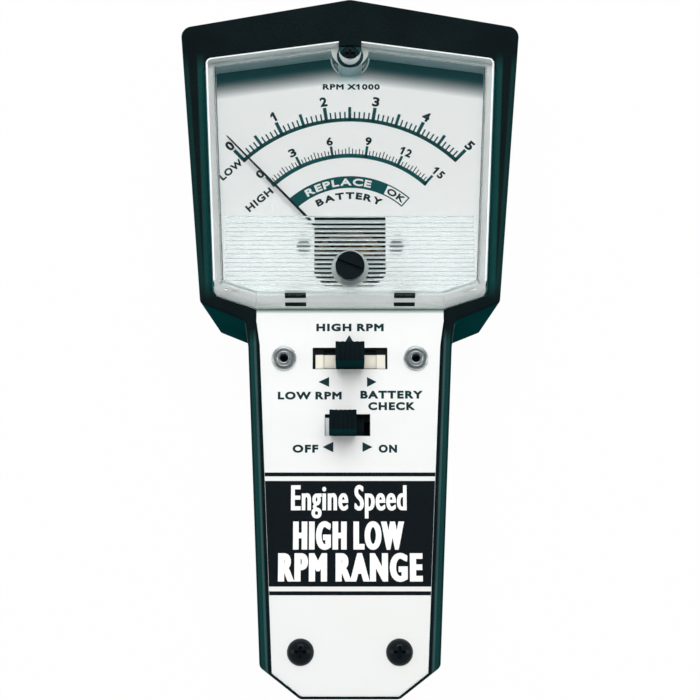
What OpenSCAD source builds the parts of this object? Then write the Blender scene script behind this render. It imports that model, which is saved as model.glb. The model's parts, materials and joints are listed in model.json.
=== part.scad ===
// Hand-held engine tachometer: a moving-coil meter, two slide switches, a battery
// and a small circuit in one deep moulded case. Millimetres. The tachometer lies on
// its back at z = 0 with its head towards +Y and its face towards +Z.

/* [Case] */
// Length from the apex of the head to the foot of the grip
case_len = 190; // [188:1:212]
// Depth from the flat back to the rim of the face
case_depth = 34; // [34:0.5:42]
// Width across the shoulders of the head
head_w = 94; // [92:1:104]
// Width of the head at its lower corners
jaw_w = 80; // [79:1:90]
// Drop of the shoulders below the apex
shoulder_drop = 8.5; // [7:0.5:10]
// Length from the apex to where the head meets the grip
head_len = 92; // [91.5:0.5:96]
// Rise of the lower corners of the head above the grip
jaw_rise = 4.9; // [4:0.1:5.4]
// Width of the neck where the head meets the grip
neck_w = 56; // [55:0.5:60]
// Length of the flare between the neck and the grip
neck_len = 6.8; // [5:0.2:9]
// Width at the top of the grip
grip_w = 54; // [53:0.5:55]
// Width of the grip above its foot
foot_w = 46; // [44:0.5:50]
// Width of the flat end of the foot
foot_flat_w = 25.2; // [20:0.2:30]
// Height of the chamfers beside the foot
foot_chamfer = 8; // [6:0.5:9]
// Thickness of the case wall
wall = 2.4; // [1.8:0.1:2.8]
// Inward lean of the side walls from the rim to the back
side_lean = 3.3; // [2:0.1:4]
// Radius of the edge around the back
back_round = 4; // [2:0.5:5]
// Rounding of the rim around the face
rim_round = 0.8; // [0.4:0.1:1]
// Width of the rim beside the front plate
rim_w = 3.1; // [2.6:0.1:3.3]
// Width of the rim at the foot of the front plate
foot_rim_w = 0.7; // [0.5:0.1:1]

/* [Front plate] */
// Thickness of the front plate
plate_t = 1; // [0.8:0.1:1.2]
// Depth of the front plate below the rim
plate_sink = 0.6; // [0.3:0.1:1]
// Width of the ledge under the edge of the front plate
ledge_w = 1.4; // [1:0.1:1.6]
// Height of the ledge under the front plate
ledge_h = 2; // [1.5:0.1:3]
// Distance between the two plate screws
plate_screw_pitch = 25.2; // [22:0.2:27]
// Height of the plate screws above the foot
plate_screw_rise = 11.7; // [11:0.1:13]
// Width of the plate screw heads
plate_screw_head_w = 6.9; // [6:0.1:7.4]
// Width of the screw shanks
screw_w = 2.5; // [2:0.1:2.9]
// Length of the screw shanks
screw_len = 12; // [8:0.5:14]

/* [Meter lens] */
// Distance from the apex of the case to the apex of the lens
lens_drop = 14; // [13.5:0.1:15]
// Height of the foot of the lens above the neck of the case
lens_foot_rise = 3.5; // [3.4:0.1:4]
// Width of the lens across the top
lens_w = 79.4; // [77:0.2:80.4]
// Width of the lens across its lower corners
lens_jaw_w = 72.6; // [70:0.2:73.6]
// Width of the straight foot of the lens
lens_foot_w = 50; // [46:0.5:51]
// Drop of the upper corners of the lens below its apex
lens_shoulder_drop = 5.5; // [5:0.1:7]
// Rise of the lower corners of the lens above its foot
lens_jaw_rise = 3.7; // [3.4:0.1:5]
// Height of the lens above the rim
lens_proud = 5.5; // [4.5:0.1:7]
// Thickness of the clear lens
lens_wall = 2; // [1.6:0.1:2.2]
// Slope of the foot of the lens towards its front
lens_foot_slope = 2.7; // [1:0.1:3.4]
// Slope of the other sides of the lens
lens_draft = 0.3; // [0.1:0.1:0.6]
// Rounding of the front edge of the lens
lens_round = 0.8; // [0.4:0.1:1]
// Gap between the lens and the case
lens_gap = 0.4; // [0.2:0.1:0.6]
// Width of the notch at the top of the lens
notch_w = 6.2; // [6:0.1:7]
// Distance from the apex of the lens to the screw in its notch
notch_drop = 3; // [2.6:0.1:3.6]
// Width of the head of the screw in the notch
top_screw_head_w = 5.6; // [5:0.1:5.8]
// Pitch of the flutes in the lower part of the lens
flute_pitch = 1.18; // [1:0.02:1.5]
// Height of the flutes
flute_h = 0.35; // [0.2:0.05:0.5]
// Distance between the two catches at the foot of the lens
catch_pitch = 28.8; // [24:0.2:34]
// Width of each catch
catch_w = 5.2; // [4:0.1:6]

/* [Dial] */
// Depth of the face of the dial below the rim
dial_sink = 2.5; // [2:0.1:3]
// Thickness of the dial
dial_t = 0.5; // [0.3:0.1:0.8]
// Width of the window in the dial
window_w = 19.2; // [18.6:0.2:20]
// Top of the window above the pivot
window_up = 12.9; // [12.4:0.1:13.4]
// Bottom of the window below the pivot
window_down = 6.9; // [6.5:0.1:7.2]
// Chamfer of the lower corners of the window
window_chamfer = 3.2; // [2:0.1:4]
// Distance between the two dial screws
dial_screw_pitch = 25; // [24.6:0.2:27]
// Height of the dial screws above the pivot
dial_screw_rise = 4.2; // [3:0.1:5]
// Width of the dial screw heads
dial_screw_head_w = 3.6; // [3:0.1:3.8]

/* [Movement] */
// Height of the pivot above the foot of the lens
pivot_rise = 13.1; // [12.8:0.1:13.6]
// Angle of the pointer at zero, from the head towards the left
zero_angle = 43.5; // [40:0.5:46]
// Length of the pointer from the pivot to its tip
pointer_len = 46; // [42:0.5:47]
// Width of the pointer at its root
pointer_w = 1.2; // [0.8:0.1:1.6]
// Radius of the core magnet
core_r = 5.2; // [4.8:0.1:5.3]
// Height of the core magnet
core_h = 10; // [8:0.5:10.5]
// Inner radius of the yoke ring
yoke_r = 9; // [8.8:0.1:9.2]
// Thickness of the yoke ring
yoke_t = 1.8; // [1.5:0.1:2]
// Width of the coil from side to side
coil_w = 5; // [4:0.2:5.6]
// Width of the pivot pins
pin_w = 0.9; // [0.7:0.1:1.2]
// Distance from the pivot to the zero screw
zero_screw_drop = 3.2; // [3:0.1:3.4]
// Width of the head of the zero screw
zero_head_w = 7.7; // [7:0.1:8]
// Width of the neck of the zero screw in the lens
zero_neck_w = 5.9; // [5:0.1:6.2]
// Height of the zero screw above the lens
zero_head_h = 1.6; // [1.2:0.1:2]
// Offset of the pin under the zero screw
zero_pin_offset = 0.8; // [0.6:0.1:1]

/* [Switches] */
// Distance from the neck of the case to the centre of the range switch
range_drop = 10.05; // [9.8:0.05:10.6]
// Distance from the range switch to the power switch
switch_pitch = 17.85; // [17.6:0.05:18.6]
// Distance between the two rivets of the range switch
rivet_pitch = 34.9; // [34:0.1:36]
// Width of the rivet heads
rivet_head_w = 6.6; // [6:0.1:7]
// Width of the hole through each rivet
rivet_bore_w = 2.2; // [1.8:0.1:2.4]
// Length of the slot for the range knob
range_slot_w = 19.8; // [18:0.2:21]
// Length of the slot for the power knob
power_slot_w = 11.9; // [11.8:0.1:13]
// Offset of the power slot from the middle of the plate
power_slot_x = -0.65; // [-1:0.05:-0.4]
// Height of both slots
slot_h = 5.8; // [5.7:0.1:6.4]
// Width of the range knob
range_knob_w = 7.5; // [7:0.1:7.6]
// Width of the power knob
power_knob_w = 7; // [6.6:0.1:7.2]
// Size of both knobs across their travel
knob_h = 5; // [4.6:0.1:5.2]
// Height of both knobs above the front plate
knob_rise = 10; // [5:0.5:12]
// Travel of the range knob to each side
range_travel = 3.1; // [2.8:0.1:3.3]
// Travel of the power knob from off to on
power_travel = 3.2; // [3:0.1:3.3]
// Position of the power knob at rest
power_knob_x = -1.8; // [-2:0.05:-1.7]
// Depth of both switch bodies
switch_depth = 7.5; // [7:0.1:8.5]
// Size of both switch bodies across their travel
switch_h = 11.8; // [11:0.1:12]
// Length of the body of the range switch
range_body_w = 24; // [23:0.2:25]
// Length of the body of the power switch
power_body_w = 19.6; // [19:0.2:20.5]

/* [Circuit] */
// Thickness of the circuit board
board_t = 1.6; // [1.2:0.1:1.7]
// Gap between the switch bases and the circuit board
board_gap = 0.7; // [0.5:0.1:0.9]
// Width of the circuit board
board_w = 38; // [37.6:0.2:39]
// Length of the pickup rod
pickup_len = 38; // [34:1:40]
// Radius of the pickup rod
pickup_r = 2.5; // [2:0.1:2.7]
// Radius of the pickup winding
pickup_coil_r = 3.4; // [3.1:0.1:3.5]
// Length of the pickup winding
pickup_coil_len = 24; // [20:1:26]

/* [Battery] */
// Width of the battery
battery_w = 26.5; // [25.5:0.1:26.5]
// Depth of the battery
battery_t = 17.5; // [16.5:0.1:17.5]
// Distance between the two battery studs
stud_pitch = 12.7; // [12.4:0.1:13]
// Thickness of the snap clip on the battery
clip_t = 5.2; // [4.6:0.1:5.4]

/* [Hidden] */
$fn = 48;
eps = 0.01;
fit_gap = 0.05;
rest_gap = 0.3;

// Levels of the face, the plate and the dial
face_z = case_depth;
plate_top_z = face_z - plate_sink;
plate_z = plate_top_z - plate_t;
dial_top_z = face_z - dial_sink;
dial_z = dial_top_z - dial_t;
lens_front_z = face_z + lens_proud;
lens_inner_z = lens_front_z - lens_wall;
ledge_z = plate_z - ledge_h;

// Places along the case
apex_y = case_len / 2;
foot_y = -case_len / 2;
neck_y = apex_y - head_len;
lens_apex_y = apex_y - lens_drop;
lens_foot_y = neck_y + lens_foot_rise;
notch_y = lens_apex_y - notch_drop;
pivot_y = lens_foot_y + pivot_rise;
zero_screw_y = pivot_y - zero_screw_drop;
range_y = neck_y - range_drop;
power_y = range_y - switch_pitch;
plate_screw_y = foot_y + plate_screw_rise;
plate_head_gap = 0.3;
plate_head_y = lens_foot_y - plate_head_gap;

// Outline of a rounded polygon whose corners are [x, y, radius] and run clockwise.
// Each edge moves inwards by its own distance before the corners are rounded.
corner_steps = 5;
function flat(p) = [p.x, p.y];
function along(a, b) = (flat(b) - flat(a)) / norm(flat(b) - flat(a));
function inward(u) = [u.y, -u.x];
function moved_corner(a, b, c, before, after) =
    let (
        u = along(a, b),
        w = along(b, c),
        n = inward(u),
        m = inward(w),
        turn = n.x * m.y - n.y * m.x,
        shift = [m.y * before - n.y * after, n.x * after - m.x * before] / turn,
        radius = turn < 0 ? b[2] - (before + after) / 2 : b[2] + (before + after) / 2
    )
    [b.x + shift.x, b.y + shift.y, max(radius, 0.4)];
function inset(corners, distances) =
    let (n = len(corners))
    [for (i = [0 : n - 1])
        moved_corner(corners[(i + n - 1) % n], corners[i], corners[(i + 1) % n],
            distances[(i + n - 1) % n], distances[i])];
function corner_arc(a, b, c) =
    let (
        u = along(b, a),
        w = along(b, c),
        half = acos(u * w) / 2,
        centre = flat(b) + (u + w) / norm(u + w) * b[2] / sin(half),
        from = flat(b) + u * b[2] / tan(half) - centre,
        to = flat(b) + w * b[2] / tan(half) - centre,
        side = from.x * to.y - from.y * to.x < 0 ? -1 : 1,
        start = atan2(from.y, from.x)
    )
    [for (k = [0 : corner_steps])
        let (angle = start + side * (180 - 2 * half) * k / corner_steps)
        centre + b[2] * [cos(angle), sin(angle)]];
function rounded(corners) =
    let (n = len(corners))
    [for (i = [0 : n - 1])
        each corner_arc(corners[(i + n - 1) % n], corners[i], corners[(i + 1) % n])];

// Solid between outlines of equal point counts that are the same left and right;
// each ring is [z, outline], and its two ends are made of strips from left to right
half_start = (corner_steps + 1) / 2;
module loft(rings) {
    sides = len(rings[0][1]);
    last = len(rings) - 1;
    points = [for (ring = rings) each [for (p = ring[1]) [p.x, p.y, ring[0]]]];
    walls = [for (k = [0 : last - 1]) for (i = [0 : sides - 1])
        let (
            a = k * sides + i,
            b = k * sides + (i + 1) % sides
        )
        each [[a, b, a + sides], [b, b + sides, a + sides]]];
    right = function (j) half_start + j;
    left = function (j) (half_start - 1 - j + sides) % sides;
    strips = [for (j = [0 : sides / 2 - 2]) [left(j), right(j), right(j + 1), left(j + 1)]];
    floor_faces = [for (strip = strips) [strip[3], strip[2], strip[1], strip[0]]];
    roof_faces = [for (strip = strips) [for (i = strip) last * sides + i]];
    polyhedron(points = points, faces = concat(floor_faces, roof_faces, walls), convexity = 6);
}

// Round tube along a route of points, with rings worked out between them
tube_sides = 8;
route_steps = 4;
function blend_point(a, b, c, d, t) =
    0.5 * (2 * b + (c - a) * t + (2 * a - 5 * b + 4 * c - d) * t * t
        + (3 * b - a - 3 * c + d) * t * t * t);
function smooth_route(points) =
    let (n = len(points))
    concat(
        [for (i = [0 : n - 2]) for (k = [0 : route_steps - 1])
            blend_point(points[max(i - 1, 0)], points[i], points[i + 1],
                points[min(i + 2, n - 1)], k / route_steps)],
        [points[n - 1]]);
module tube(points, radius, reference) {
    route = smooth_route(points);
    n = len(route);
    ring_points = [for (i = [0 : n - 1])
        let (
            ahead = route[min(i + 1, n - 1)] - route[max(i - 1, 0)],
            side = cross(ahead, reference) / norm(cross(ahead, reference)),
            up = cross(side, ahead) / norm(cross(side, ahead))
        )
        each [for (k = [0 : tube_sides - 1])
            let (angle = 360 * k / tube_sides)
            route[i] + radius * (cos(angle) * side + sin(angle) * up)]];
    walls = [for (i = [0 : n - 2]) for (k = [0 : tube_sides - 1])
        let (
            a = i * tube_sides + k,
            b = i * tube_sides + (k + 1) % tube_sides
        )
        each [[a, a + tube_sides, b], [b, a + tube_sides, b + tube_sides]]];
    first_face = [for (k = [0 : tube_sides - 1]) k];
    last_face = [for (k = [tube_sides - 1 : -1 : 0]) (n - 1) * tube_sides + k];
    polyhedron(points = ring_points, faces = concat([first_face, last_face], walls), convexity = 8);
}

// Box centred on x and y that stands on z
module block(size, at) {
    translate([at.x - size.x / 2, at.y - size.y / 2, at.z]) cube(size);
}

// Cylinder that stands on z
module post(r, h, at) {
    translate(at) cylinder(r = r, h = h);
}

// Case outline, from the apex clockwise; the lean, end and jaw distances move its edges in
apex_round = 4;
shoulder_round = 3;
jaw_round = 2;
grip_round = 8;
foot_round = 2;
case_half = [
    [head_w / 2, apex_y - shoulder_drop, shoulder_round],
    [jaw_w / 2, neck_y + jaw_rise, jaw_round],
    [neck_w / 2, neck_y, jaw_round],
    [grip_w / 2, neck_y - neck_len, grip_round],
    [foot_w / 2, foot_y + foot_chamfer, foot_round],
    [foot_flat_w / 2, foot_y, foot_round]
];
function mirrored(half) = [for (i = [len(half) - 1 : -1 : 0]) [-half[i].x, half[i].y, half[i][2]]];
case_corners = concat([[0, apex_y, apex_round]], case_half, mirrored(case_half));
function case_outline(side, end, jaw) =
    rounded(inset(case_corners, [end, side, jaw, side, side, end, end, end, side, side, jaw, side, end]));
function lean(z) = side_lean * (case_depth - z) / case_depth;

// Lens outline, from the left of its apex clockwise
lens_corner_round = 2;
lens_half = [
    [lens_w / 2, lens_apex_y - lens_shoulder_drop, lens_corner_round],
    [lens_jaw_w / 2, lens_foot_y + lens_jaw_rise, lens_corner_round],
    [lens_foot_w / 2, lens_foot_y, lens_corner_round]
];
lens_corners = concat([[0, lens_apex_y, lens_corner_round]], lens_half, mirrored(lens_half));
function lens_outline(side, foot) = rounded(inset(lens_corners, [side, side, foot, foot, foot, side, side]));
function opening_outline(end, side) = rounded(inset(lens_corners, [end, side, end, end, end, side, end]));

// Front plate area, grown at its sides and ends by a gap, between the foot and a top edge
module plate_area(side, end, top_y, z, h) {
    intersection() {
        translate([0, 0, z]) linear_extrude(h) polygon(case_outline(side, end, side));
        block([neck_w - 2 * side, top_y - foot_y, h], [0, (top_y + foot_y) / 2, z]);
    }
}

// Bevels inside the rim, beside the front plate and beside the lens
plate_bevel_w = 1.1;
lens_bevel_w = 0.9;
lens_bevel_h = 0.6;
module plate_bevel() {
    low_w = rim_w - 0.1;
    high_w = low_w - plate_bevel_w;
    half_w = neck_w / 2 - low_w;
    end_w = foot_rim_w - 0.1;
    top_y = plate_head_y + lens_gap;
    intersection() {
        loft([
            [plate_top_z, case_outline(low_w, end_w, low_w)],
            [face_z + eps, case_outline(high_w, end_w, high_w)]
        ]);
        translate([0, top_y, 0]) rotate([90, 0, 0]) linear_extrude(top_y - foot_y) polygon([
            [-half_w, plate_top_z], [half_w, plate_top_z],
            [half_w + plate_bevel_w, face_z + eps], [-half_w - plate_bevel_w, face_z + eps]
        ]);
    }
}
module lens_bevel() {
    end = eps - lens_gap;
    loft([
        [face_z - lens_bevel_h, opening_outline(end, end)],
        [face_z + eps, opening_outline(end, -lens_gap - lens_bevel_w)]
    ]);
}

// Case
meter_seat_t = 2;
meter_seat_z = dial_z - meter_seat_t;
meter_post_r = 2.5;
meter_post_inset = 5;
plate_boss_r = 3.6;
top_boss_r = 3.2;
face_slab_z = ledge_z;
pilot_r = screw_w / 2 + fit_gap;
fence_t = 1.6;
fence_h = 8;
fence_gap = 0.5;
battery_y = plate_screw_y + plate_boss_r + 1.2;
battery_z = wall + rest_gap;
fence_x = battery_w / 2 + fence_gap + fence_t / 2;
meter_posts = [
    [lens_w / 2 - meter_post_inset, lens_apex_y - lens_shoulder_drop - meter_post_inset],
    [lens_jaw_w / 2 - meter_post_inset, lens_foot_y + lens_jaw_rise + meter_post_inset]
];
pickup_y = notch_y + top_boss_r + pickup_coil_r + 0.4;
pickup_z = 12;
pickup_rest_t = 2.4;
edge_steps = 3;
end_rim_share = 0.6;
module case_shell() {
    outer_rings = concat(
        [for (k = [0 : edge_steps])
            let (
                angle = 90 * k / edge_steps,
                z = back_round * (1 - cos(angle)),
                in = back_round * (1 - sin(angle))
            )
            [z, case_outline(lean(z) + in, in, in)]],
        [for (k = [0 : edge_steps])
            let (
                angle = 90 * k / edge_steps,
                in = rim_round * (1 - cos(angle))
            )
            [face_z - rim_round * (1 - sin(angle)), case_outline(in, in * end_rim_share, in)]]
    );
    inner_round = 2;
    inner_rings = [
        [wall, case_outline(lean(wall) + wall + inner_round, wall + inner_round, wall + inner_round)],
        [wall + inner_round, case_outline(lean(wall + inner_round) + wall, wall, wall)],
        [face_slab_z, case_outline(lean(face_slab_z) + wall, wall, wall)]
    ];
    cut_h = face_z - face_slab_z + 1;
    color("#15191b") {
        difference() {
            loft(outer_rings);
            loft(inner_rings);
            translate([0, 0, face_slab_z - eps]) linear_extrude(cut_h)
                polygon(lens_outline(-lens_gap, -lens_gap));
            plate_area(rim_w - 0.1, foot_rim_w - 0.1, plate_head_y + lens_gap, plate_z, cut_h);
            plate_area(rim_w + ledge_w, wall, lens_foot_y, face_slab_z - eps, cut_h);
            plate_bevel();
            lens_bevel();
        }
        for (side = [-1, 1]) {
            difference() {
                post(plate_boss_r, plate_z - wall + eps, [side * plate_screw_pitch / 2, plate_screw_y, wall - eps]);
                post(pilot_r, screw_len + 2, [side * plate_screw_pitch / 2, plate_screw_y,
                    plate_z + eps * 2 - screw_len - 1]);
            }
            for (p = meter_posts)
                post(meter_post_r, meter_seat_z - wall + eps, [side * p.x, p.y, wall - eps]);
            block([fence_t, battery_len * 0.8, fence_h + eps],
                [side * fence_x, battery_y + battery_len / 2, wall - eps]);
            difference() {
                block([pickup_rest_t, pickup_r * 2 + 1.6, pickup_z - wall + eps],
                    [side * (pickup_coil_len + pickup_rest_t + 2) / 2, pickup_y, wall - eps]);
                translate([side * pickup_len / 2, pickup_y, pickup_z]) rotate([0, -side * 90, 0])
                    cylinder(r = pickup_r + fit_gap, h = pickup_len / 2);
            }
        }
        difference() {
            post(top_boss_r, meter_seat_z - wall + eps, [0, notch_y, wall - eps]);
            post(pilot_r, screw_len + 1, [0, notch_y, meter_seat_z - screw_len + eps]);
        }
    }
}

// Front plate with the two switch slots, two rivet holes and two screw holes
rivet_shank_r = 1.6;
module front_plate() {
    plate_end_gap = foot_rim_w;
    color("#eef0ee") difference() {
        plate_area(rim_w, plate_end_gap, plate_head_y, plate_z, plate_t);
        block([range_slot_w, slot_h, plate_t * 3], [0, range_y, plate_z - plate_t]);
        block([power_slot_w, slot_h, plate_t * 3], [power_slot_x, power_y, plate_z - plate_t]);
        for (side = [-1, 1]) {
            post(rivet_shank_r + fit_gap, plate_t * 3, [side * rivet_pitch / 2, range_y, plate_z - plate_t]);
            post(screw_w / 2 + 0.3, plate_t * 3, [side * plate_screw_pitch / 2, plate_screw_y, plate_z - plate_t]);
        }
    }
}

// Dome of a given width and height that stands on z, cut from a ball
module dome(w, h, at) {
    ball_r = (w * w / 4 + h * h) / (2 * h);
    intersection() {
        translate([at.x, at.y, at.z + h - ball_r]) sphere(r = ball_r);
        post(w / 2, h, at);
    }
}

// Cross recess of a screw head
module cross_recess(w, depth, at) {
    for (turn = [0, 90])
        translate([at.x, at.y, at.z]) rotate(turn) block([w, w / 4, depth], [0, 0, 0]);
}

plate_screw_head_h = 2.3;
module plate_screws() {
    color("#101314") for (side = [-1, 1]) {
        at = [side * plate_screw_pitch / 2, plate_screw_y, plate_top_z];
        difference() {
            dome(plate_screw_head_w, plate_screw_head_h, at);
            cross_recess(3, 2, [at.x, at.y, at.z + plate_screw_head_h - 1.4]);
        }
        post(screw_w / 2, screw_len, [at.x, at.y, at.z - screw_len + eps]);
    }
}

rivet_head_h = 1.3;
rivet_tail_h = 1.1;
module rivets() {
    frame_z = plate_z - frame_t;
    color("#b9c3c6") for (side = [-1, 1]) {
        x = side * rivet_pitch / 2;
        difference() {
            union() {
                dome(rivet_head_w, rivet_head_h, [x, range_y, plate_top_z]);
                post(rivet_shank_r, plate_top_z - frame_z + eps * 2, [x, range_y, frame_z - eps]);
                post(rivet_shank_r + 0.8, rivet_tail_h, [x, range_y, frame_z - rivet_tail_h]);
            }
            post(rivet_bore_w / 2, plate_top_z - frame_z + rivet_head_h + rivet_tail_h + 2,
                [x, range_y, frame_z - rivet_tail_h - 1]);
        }
    }
}

// Meter lens: a clear shell with a notch, flutes, catch windows and a hole for the zero screw
notch_ring_t = 2;
zero_boss_t = 2;
catch_t = 1.2;
catch_gap = 0.2;
catch_hook = 0.8;
catch_y = lens_foot_y + lens_wall + 2 * catch_gap;
catch_window_h = 1.3;
catch_window_z = face_z + 0.6;
flute_up = 8.6;
flute_down = 9.4;
module lens_shell(thin) {
    top_z = lens_front_z - thin;
    slope = lens_foot_slope * (top_z - lens_round - face_z) / lens_proud;
    loft(concat(
        [[dial_z - (thin > 0 ? 1 : 0), lens_outline(thin, thin)],
            [face_z, lens_outline(thin, thin)]],
        [for (k = [0 : edge_steps])
            let (
                angle = 90 * k / edge_steps,
                in = lens_round * (1 - cos(angle))
            )
            [top_z - lens_round * (1 - sin(angle)), lens_outline(thin + lens_draft + in, thin + slope + in)]]
    ));
}
module notch_area(r, z, h) {
    post(r, h, [0, notch_y, z]);
    block([2 * r, lens_drop, h], [0, notch_y + lens_drop / 2, z]);
}
module meter_lens() {
    flutes = floor((flute_up + flute_down) / flute_pitch);
    flute_y = pivot_y + flute_up;
    flute_w = lens_jaw_w - 2 * (lens_wall + lens_draft + lens_round);
    color("#dfe9ea", 0.35) difference() {
        union() {
            difference() {
                lens_shell(0);
                lens_shell(lens_wall);
            }
            intersection() {
                lens_shell(0);
                union() {
                    notch_area(notch_w / 2 + notch_ring_t, dial_z, lens_front_z);
                    post(zero_neck_w / 2 + zero_boss_t, lens_front_z,
                        [0, zero_screw_y, lens_inner_z - zero_boss_h]);
                }
            }
            translate([-flute_w / 2, 0, lens_inner_z]) rotate([90, 0, 90]) linear_extrude(flute_w)
                polygon(concat(
                    [for (i = [0 : flutes - 1]) each [
                        [flute_y - i * flute_pitch, 0],
                        [flute_y - (i + 0.5) * flute_pitch, -flute_h]
                    ]],
                    [[flute_y - flutes * flute_pitch, 0],
                        [flute_y - flutes * flute_pitch, eps],
                        [flute_y, eps]]
                ));
        }
        notch_area(notch_w / 2, dial_z - 1, lens_front_z);
        post(zero_neck_w / 2 + fit_gap, lens_front_z, [0, zero_screw_y, lens_inner_z - zero_boss_h - 1]);
        for (side = [-1, 1])
            block([catch_w + 2 * catch_gap, lens_wall * 3, catch_window_h],
                [side * catch_pitch / 2, lens_foot_y, catch_window_z]);
    }
}

// Meter base: flange, tray, ear for the top screw, posts and the two catches
tray_w = 44;
tray_t = 2;
tray_z = 7;
opening_r = yoke_r + yoke_t + 0.4;
tray_down = opening_r + tray_t;
tray_up = 16.6;
tray_floor_z = tray_z + tray_t;
bridge_post_h = 0.8;
bridge_post_r = 1.8;
bridge_seat_z = tray_floor_z + bridge_post_h;
dial_post_r = 2;
ear_gap = 0.15;
module meter_base() {
    tray_size = [tray_w, tray_down + tray_up, meter_seat_z - tray_z];
    tray_at = [0, pivot_y + (tray_up - tray_down) / 2, tray_z];
    dial_screw_at = [dial_screw_pitch / 2, pivot_y + dial_screw_rise];
    color("#17191a") difference() {
        union() {
            difference() {
                union() {
                    translate([0, 0, meter_seat_z]) linear_extrude(meter_seat_t) polygon(lens_outline(0, 0));
                    block(tray_size, tray_at);
                }
                block(tray_size - [2 * tray_t, 2 * tray_t, tray_t], [tray_at.x, tray_at.y, tray_floor_z]);
                post(opening_r, face_z, [0, pivot_y, tray_floor_z]);
                block([2 * opening_r, tray_up - tray_t, face_z],
                    [0, pivot_y + (tray_up - tray_t) / 2, tray_floor_z]);
            }
            notch_area(notch_w / 2 - ear_gap, meter_seat_z + eps, face_z - meter_seat_z - eps);
            for (side = [-1, 1]) {
                post(dial_post_r, dial_z - tray_floor_z + eps,
                    [side * dial_screw_at.x, dial_screw_at.y, tray_floor_z - eps]);
                post(bridge_post_r, bridge_post_h + eps,
                    [0, pivot_y + side * (yoke_r - 0.5), tray_floor_z - eps]);
                block([catch_w, catch_t, catch_window_z + catch_window_h - dial_z + eps],
                    [side * catch_pitch / 2, catch_y + catch_t / 2, dial_z - eps]);
                block([catch_w, catch_t, catch_window_h - 2 * catch_gap],
                    [side * catch_pitch / 2, catch_y + catch_t / 2 - catch_hook, catch_window_z + catch_gap]);
            }
        }
        post(pilot_r, face_z, [0, notch_y, meter_seat_z - 1]);
        block([notch_w * 2, lens_drop * 2, 2 * face_z], [0, lens_apex_y + lens_drop - lens_gap, 0]);
        for (side = [-1, 1]) {
            post(terminal_r + fit_gap, tray_t + 2, [side * terminal_x, pivot_y - terminal_drop, tray_z - 1]);
            post(dial_shank_r + fit_gap, dial_shank_len + 2,
                [side * dial_screw_at.x, dial_screw_at.y, dial_z - dial_shank_len - 0.5]);
        }
    }
}

top_screw_head_h = 2.2;
module top_screw() {
    color("#101314") {
        difference() {
            dome(top_screw_head_w, top_screw_head_h, [0, notch_y, face_z]);
            cross_recess(2.6, 2, [0, notch_y, face_z + top_screw_head_h - 1.3]);
        }
        post(screw_w / 2, screw_len, [0, notch_y, face_z - screw_len + eps]);
    }
}

// Dial plate with its window, on the flange of the meter base
module window_area(h, z) {
    left = -window_w / 2;
    top = pivot_y + window_up;
    bottom = pivot_y - window_down;
    translate([0, 0, z]) linear_extrude(h) polygon([
        [left, top], [-left, top],
        [-left, bottom + window_chamfer], [-left - window_chamfer, bottom],
        [left + window_chamfer, bottom], [left, bottom + window_chamfer]
    ]);
}
module dial_plate() {
    edge = lens_wall + rest_gap;
    color("#f4f5f2") difference() {
        translate([0, 0, dial_z]) linear_extrude(dial_t) polygon(lens_outline(edge, edge));
        window_area(dial_t + 2, dial_z - 1);
        notch_area(notch_w / 2 + notch_ring_t + rest_gap, dial_z - 1, dial_t + 2);
        for (side = [-1, 1]) {
            post(dial_shank_r + fit_gap, dial_t + 2,
                [side * dial_screw_pitch / 2, pivot_y + dial_screw_rise, dial_z - 1]);
            block([catch_w + 2 * rest_gap, 2 * (catch_t + rest_gap), dial_t + 2],
                [side * catch_pitch / 2, catch_y, dial_z - 1]);
        }
    }
}

dial_shank_r = 0.9;
dial_shank_len = 7;
dial_head_h = 1.1;
module dial_screws() {
    color("#9aa1a2") for (side = [-1, 1]) {
        at = [side * dial_screw_pitch / 2, pivot_y + dial_screw_rise, dial_top_z];
        difference() {
            post(dial_screw_head_w / 2, dial_head_h, at);
            block([dial_screw_head_w + 1, 0.6, 1], [at.x, at.y, at.z + dial_head_h - 0.5]);
        }
        post(dial_shank_r, dial_shank_len, [at.x, at.y, at.z - dial_shank_len + eps]);
    }
}

// Brass studs through the floor of the tray, where the leads of the meter end
terminal_r = 1.2;
terminal_x = 15;
terminal_drop = 6;
terminal_out = 3;
module meter_terminals() {
    color("#c9a24a") for (side = [-1, 1]) {
        at = [side * terminal_x, pivot_y - terminal_drop, tray_z];
        post(terminal_r, tray_t + terminal_out + 1.5, [at.x, at.y, at.z - terminal_out]);
        post(terminal_r + 1, 1, [at.x, at.y, tray_floor_z]);
        post(terminal_r + 1, 1, [at.x, at.y, tray_z - 1]);
    }
}

// Movement, from the back to the front
bridge_t = 1.2;
yoke_z = bridge_seat_z + bridge_t;
spring_h = 0.5;
lower_spring_z = yoke_z + 0.4;
former_t = 0.5;
former_gap = 0.5;
winding_t = 0.9;
former_r = core_r + former_gap;
coil_bottom_z = lower_spring_z + spring_h + rest_gap;
core_z = coil_bottom_z + winding_t + former_t + former_gap;
yoke_h = core_z + core_h - yoke_z + 0.4;
coil_top_z = core_z + core_h + former_gap + former_t + winding_t;
hub_z = coil_top_z + 0.6;
hub_t = 0.8;
arm_root_t = 0.5;
upper_spring_z = hub_z + hub_t + 0.5;
upper_bridge_z = upper_spring_z + spring_h + rest_gap;
lever_t = 0.5;
lever_z = upper_bridge_z + bridge_t + 0.1;
staff_r = 1;
collet_r = 1.2;
jewel_r = 1.5;
cup_depth = 1.4;
pin_end_gap = 0.1;
lower_jewel_z = bridge_seat_z - 0.6;
lower_jewel_h = bridge_t + 0.7;
upper_jewel_h = bridge_t + 1.4;
pillar_r = 1.1;
pillar_pin_r = 0.7;
pillar_x = yoke_r + yoke_t - pillar_r;

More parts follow.
